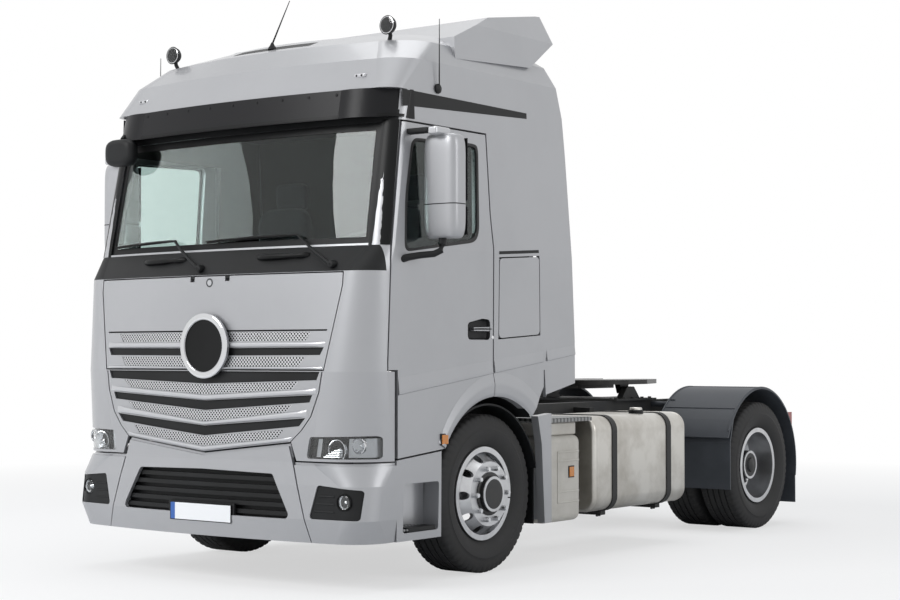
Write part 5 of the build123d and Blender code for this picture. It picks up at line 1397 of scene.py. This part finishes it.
    def build(self) -> None:
        """Make the tanks and boxes, the steps' plates and the tread plates on top."""
        tanks = [self._tank(*row) for row in self.tanks]
        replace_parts(tanks[0], "fuel_tanks")
        self._boxes()
        for side, sign in SIDES:
            block(f"step_plate_{side}", (sign * 1040, 452, 340), (sign * 1234, 770, 352), STEP_MESH,
                  "chassis", 3)
            block(f"step_tread_{side}", (sign * 1150, 500, 331), (sign * 1238, 765, 358), BLACK, "chassis", 5)
            station = np.array((458.0, 480.0, 560.0, 640.0, 720.0, 775.0, 792.0))[:, None]
            z = np.linspace(334, 618, 12)[None]
            bulge = np.array((30.0, 12.0, 4.0, 2.0, 12.0, 60.0, 120.0))[:, None]
            grid = join(sign * (1002 + bulge), station, z)
            sheet(f"step_back_{side}", grid, SILVER_TRIM, "chassis", sign * LEFT)
            rib = join(sign * 1012.0, 640.0, np.linspace(345, 600, 8))
            tube(f"step_rib_{side}", rib, 9, SILVER_TRIM, "chassis", 10)
            block(f"catwalk_plate_{side}", (sign * 645, 2056, 961), (sign * 1200, 2584, 964), PLATE_METAL,
                  "chassis", 1.4)
        block("catwalk_plate_middle", (-383, 2006, 1043.5), (383, 2614, 1046.5), PLATE_METAL, "chassis", 1.4)


# ------------------------------------------------------------------ rear
@dataclass
class Rear:
    """Guard ribs, lamp segments, the coupling's handle and bolts, and frame bolts."""

    guard_radius: float = 622.0
    rail_x: float = 385.0
    # Per tail lamp: its name, its near and its far end across the truck, and its finish.
    tail: tuple = (("stop", 1010.0, 1195.0, RED), ("turn", 930.0, 1005.0, AMBER),
                   ("reverse", 870.0, 925.0, WHITE_LAMP))

    def build(self) -> None:
        """Make what dresses the frame behind the cab."""
        for side, sign in SIDES:
            angle = np.radians(np.linspace(28, 152, 60))
            for index, x in enumerate((584.0, 1231.0)):
                arc = wheel_arc(sign * x, REAR_AXLE, self.guard_radius, angle)
                tube(f"guard_rim_{side}_{index}", arc, 8, GUARD, "chassis", 10)
            for index, degrees in enumerate((48.0, 90.0, 132.0)):
                across = sign * np.array((600, 760, 900, 1060, 1215))
                spots = wheel_arc(across, REAR_AXLE, self.guard_radius, math.radians(degrees))
                tube(f"guard_rib_{side}_{index}", spots, 6, GUARD, "chassis", 8)
            for name, near, far, finish in self.tail:
                block(f"tail_{name}_{side}", (sign * near, 5707, 785), (sign * far, 5714.9, 905), finish,
                      "chassis", 3)
            for row, height in enumerate((790.0, 960.0)):
                stations = np.arange(2700, 5500, 110.0)
                spots = join(sign * self.rail_x, stations, height)
                studs(f"frame_bolts_{side}_{row}", spots, sign * LEFT, 11, 9, FRAME_BLACK, "chassis")
            stations = np.arange(2750, 5500, 110.0)
            spots = join(sign * self.rail_x, stations, 875.0)
            studs(f"frame_holes_{side}", spots, sign * LEFT, 13, 0.8, GLOSS_BLACK, "chassis", 16)
            bolts = [(sign * 430, station, 1041) for station in (4180, 4300, 4440, 4580, 4700)]
            studs(f"coupling_bolts_{side}", bolts, UP, 14, 12, FRAME_BLACK, "chassis")
        tube("coupling_handle", join(np.array((-470, -500, -535, -544)), 4311, 1146), (13, 14, 15, 10), RED,
             "coupling_plate", 12)


@dataclass
class Plate:
    """The blank number plate with its blue band."""

    half: float = 256.0
    low: float = 373.0
    high: float = 475.0
    band: float = 38.0

    def build(self) -> None:
        """Make the plate's white field, blue band and black edge."""
        rows = (("plate_edge", -self.half - 5, self.half + 5, self.low - 5, self.high + 5, 0.03, BLACK),
                ("plate_field", -self.half + self.band, self.half, self.low, self.high, 0.0, PLATE_WHITE),
                ("plate_band", -self.half, -self.half + self.band, self.low, self.high, 0.0, PLATE_BLUE))
        for name, x0, x1, z0, z1, depth, finish in rows:
            grid = join(np.linspace(x0, x1, 3)[None], depth, np.linspace(z0, z1, 3)[:, None])
            sheet(name, grid, finish, "chassis", FORWARD)


# ------------------------------------------------------------------ inside of the cab
@dataclass
class Interior:
    """Seats, bunk, mattress and the dark linings behind the glass."""

    seat_x: float = 560.0
    # Per lining of a side wall: its name, then its first and last station, its bottom and its top.
    linings: tuple = (("rear", 1370, 1850, 1345, 2940), ("sill", 430, 1370, 1345, 1990),
                      ("top", 520, 1370, 2730, 2940))

    def _cushion(self, name: str, centre: tuple, half: tuple, tilt: float) -> Piece:
        """A stuffed block: |x/a|^n + |y/b|^n + |z/c|^n = 1 with n = 5, tipped about the cross axis.

        Args:
            name: the piece's name.
            centre: its middle.
            half: half its size in each direction.
            tilt: how far it is tipped, in degrees.

        Returns:
            The new object.
        """
        u = np.linspace(-math.pi / 2, math.pi / 2, 22)[:, None]
        v = circle(44)[None]
        x = half[0] * signed_power(np.cos(u), 0.42) * signed_power(np.cos(v), 0.42)
        y = half[1] * signed_power(np.cos(u), 0.42) * signed_power(np.sin(v), 0.42)
        z = half[2] * signed_power(np.sin(u), 0.42)
        a = math.radians(tilt)
        spot = join(x, y * math.cos(a) - z * math.sin(a), y * math.sin(a) + z * math.cos(a)) + centre
        cushion = closed_loft(name, spot, CLOTH, "cab")
        return cushion

    def build(self) -> None:
        """Make the seats, the bunk and its mattress."""
        for side, sign in SIDES:
            x = sign * self.seat_x
            self._cushion(f"seat_base_{side}", (x, 1160, 1775), (245, 232, 84), 0)
            self._cushion(f"seat_back_{side}", (x, 1412, 2105), (232, 58, 305), 6)
            self._cushion(f"seat_head_{side}", (x, 1470, 2492), (138, 40, 98), 6)
            block(f"seat_stand_{side}", (x - 188, 1002, 1341), (x + 188, 1358, 1712), INTERIOR, "cab", 14)
        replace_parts(bpy.data.objects["seat_base_left"], "seats")
        self._liner()
        mattress = self._cushion("bunk_mattress", (0, 1690, 2110), (1188, 146, 58), 0)
        block("bunk_front", (-1193, 1541, 1341), (1193, 1563, 2049), INTERIOR, "cab", 4)
        block("bunk_board", (-1193, 1541, 2026), (1193, 1838, 2049), INTERIOR, "cab", 4)
        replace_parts(mattress, "bunk")

    def _liner(self) -> None:
        """Dark linings just inside the walls and below the roof, open where there is glass."""
        for side, sign in SIDES:
            for name, near, far, low, high in self.linings:
                station, z = np.linspace(near, far, 8)[:, None], np.linspace(low, high, 8)[None]
                body = f"door_{side}_body" if name == "sill" else "cab"
                sheet(f"liner_{name}_{side}", CAB.side(station, z, sign, -51.5), INTERIOR, body, -sign * LEFT)
        grid = join(np.linspace(-1140, 1140, 12)[None], np.linspace(520, 1790, 10)[:, None], 2938.0)
        sheet("liner_roof", grid, INTERIOR, "cab", -UP)
        z = np.linspace(2175, 2936, 8)[:, None]
        grid = join(np.linspace(-1150, 1150, 12)[None], 1838 - 0.081 * (z - 1290) + 50, z)
        sheet("liner_back", grid, INTERIOR, "cab", FORWARD)


NODE_FINISHES = {
    SILVER: ("cab_shell", "cab_side_panels", "roof_cap", "roof_spoiler", "side_fairings", "door_left",
             "door_right", "locker_hatch_left", "locker_hatch_right", "flap_panel", "lower_grille",
             "headlamp_panels", "bumper_panels", "entry_steps", "wheel_fairings"),
    VISOR: ("sun_visor",),
    GLASS: ("windscreen", "door_glass_left", "door_glass_right"),
    LENS: ("headlamp_lenses",),
    BLACK: ("windscreen_cowl", "bumper_inserts", "headlamp_housings", "number_plate", "front_mudguards"),
    GUARD: ("rear_mudguards",),
    INTERIOR: ("dashboard",),
    WHEEL: ("front_rim_left", "front_rim_right", "rear_rims_left", "rear_rims_right"),
    PLATE_METAL: ("catwalk",),
    RUBBER: ("tank_straps",),
    FRAME_BLACK: ("chassis_frame", "cross_members", "fifth_wheel_base", "suspension", "tilt_arms",
                  "front_axle", "rear_axle", "knuckle_left", "knuckle_right"),
    GREASED: ("fifth_wheel_plate",),
    CAST_GREY: ("powertrain", "radiator"),
    RED: ("tail_lamps",),
}


# ------------------------------------------------------------------ studio
@dataclass(frozen=True)
class Lamp:
    """One soft area lamp, aimed at a point of the truck."""

    name: str
    place: tuple
    target: tuple
    size: float
    power: float
    mirrored: bool = True


@dataclass
class Studio:
    """Pale floor, soft lamps, white background and the camera."""

    lamps: tuple[Lamp, ...] = (
        Lamp("key", (-3.0, -13.0, 9.0), (0.0, -2.0, 1.8), 6.0, 760.0),
        Lamp("front_fill", (-9.0, -9.0, 4.5), (0.0, -2.0, 1.6), 6.0, 560.0, False),
        Lamp("side_fill", (13.0, 1.0, 6.0), (1.0, 1.0, 1.4), 7.0, 330.0),
        Lamp("top", (0.0, 0.5, 11.0), (0.0, 0.0, 2.0), 9.0, 380.0),
    )
    world: float = 0.42
    floor_glow: float = 0.6
    # The camera as the photograph was taken: focal length over a 36 mm sensor, place, and turn in degrees.
    lens: float = 70.81
    sensor: float = 36.0
    camera_place: tuple = (7.766, -10.678, 1.389)
    camera_turn: tuple = (91.777, 0.0, 36.789)

    def _background(self) -> None:
        """A grey sky that lights the truck, shown as white to the camera, to mirrors and through glass."""
        world = bpy.data.worlds.new("studio")
        bpy.context.scene.world = world
        tree = empty_tree(world)
        path = add_node(tree, "LightPath")
        seen = add_node(tree, "Math", {}, {0: path.outputs["Is Camera Ray"],
                                           1: path.outputs["Is Transmission Ray"]}, operation="MAXIMUM")
        light = add_node(tree, "Background", {"Color": linear("E8ECF2"), "Strength": self.world})
        white = add_node(tree, "Background", {"Color": (1, 1, 1, 1), "Strength": 1.0})
        seen = add_node(tree, "Math", {}, {0: seen.outputs[0], 1: path.outputs["Is Glossy Ray"]},
                        operation="MAXIMUM")
        mix = add_node(tree, "MixShader", {}, {0: seen.outputs[0], 1: light.outputs[0], 2: white.outputs[0]})
        add_node(tree, "OutputWorld", {}, {"Surface": mix.outputs[0]})

    def _floor(self) -> None:
        """A pale floor that fades into the white background with distance, and keeps the truck's shadow."""
        material = bpy.data.materials.new("studio_floor")
        tree = empty_tree(material)
        place = add_node(tree, "TexCoord").outputs["Object"]
        far = add_node(tree, "VectorMath", {}, {0: place}, operation="LENGTH")
        share = add_node(tree, "MapRange", {"From Min": 5.0, "From Max": 11.0},
                         {"Value": far.outputs["Value"]})
        shader = add_node(tree, "BsdfPrincipled", {"Base Color": linear("EDEEEF"), "Roughness": 0.8})
        white = add_node(tree, "Emission", {"Strength": 1.0})
        path = add_node(tree, "LightPath")
        seen = add_node(tree, "Math", {1: self.floor_glow}, {0: path.outputs["Is Camera Ray"]},
                        operation="MULTIPLY")
        glow = add_node(tree, "MixShader", {},
                        {0: seen.outputs[0], 1: shader.outputs[0], 2: white.outputs[0]})
        mix = add_node(tree, "MixShader", {}, {0: share.outputs[0], 1: glow.outputs[0], 2: white.outputs[0]})
        add_node(tree, "OutputMaterial", {}, {"Surface": mix.outputs[0]})
        mesh = bpy.data.meshes.new("floor")
        reach = 40.0
        mesh.from_pydata([(-reach, -reach, 0), (reach, -reach, 0), (reach, reach, 0), (-reach, reach, 0)], [],
                         [(0, 1, 2, 3)])
        mesh.materials.append(material)
        floor = bpy.data.objects.new("floor", mesh)
        bpy.context.scene.collection.objects.link(floor)

    def build(self) -> None:
        """Set the background, the floor, the lamps and the camera."""
        scene = bpy.context.scene
        scene.view_settings.view_transform = "Standard"
        self._background()
        self._floor()
        for lamp in self.lamps:
            data = bpy.data.lights.new(lamp.name, "AREA")
            data.shape, data.size, data.energy = "DISK", lamp.size, lamp.power
            light = bpy.data.objects.new(lamp.name, data)
            light.location = lamp.place
            aim = Vector(lamp.target) - Vector(lamp.place)
            light.rotation_euler = aim.to_track_quat("-Z", "Y").to_euler()
            light.visible_glossy = lamp.mirrored
            scene.collection.objects.link(light)
        data = bpy.data.cameras.new("camera")
        data.lens, data.sensor_width = self.lens, self.sensor
        camera = bpy.data.objects.new("camera", data)
        camera.location = self.camera_place
        camera.rotation_euler = [math.radians(turn) for turn in self.camera_turn]
        scene.collection.objects.link(camera)
        scene.camera = camera


def main() -> None:
    """Dress the CAD nodes, add the sub-assemblies and set up the studio."""
    logging.basicConfig(level=logging.INFO, format="%(message)s")
    for finish, nodes in NODE_FINISHES.items():
        for node in nodes:
            dress(node, finish)
    for part in (Grille(), Lamps(), Front(), Mirrors(), Wheels(), Sides(), Equipment(), Rear(), Plate(),
                 Interior(), Studio()):
        part.build()
        LOG.info("%s built", type(part).__name__)


if __name__ == "__main__":
    main()
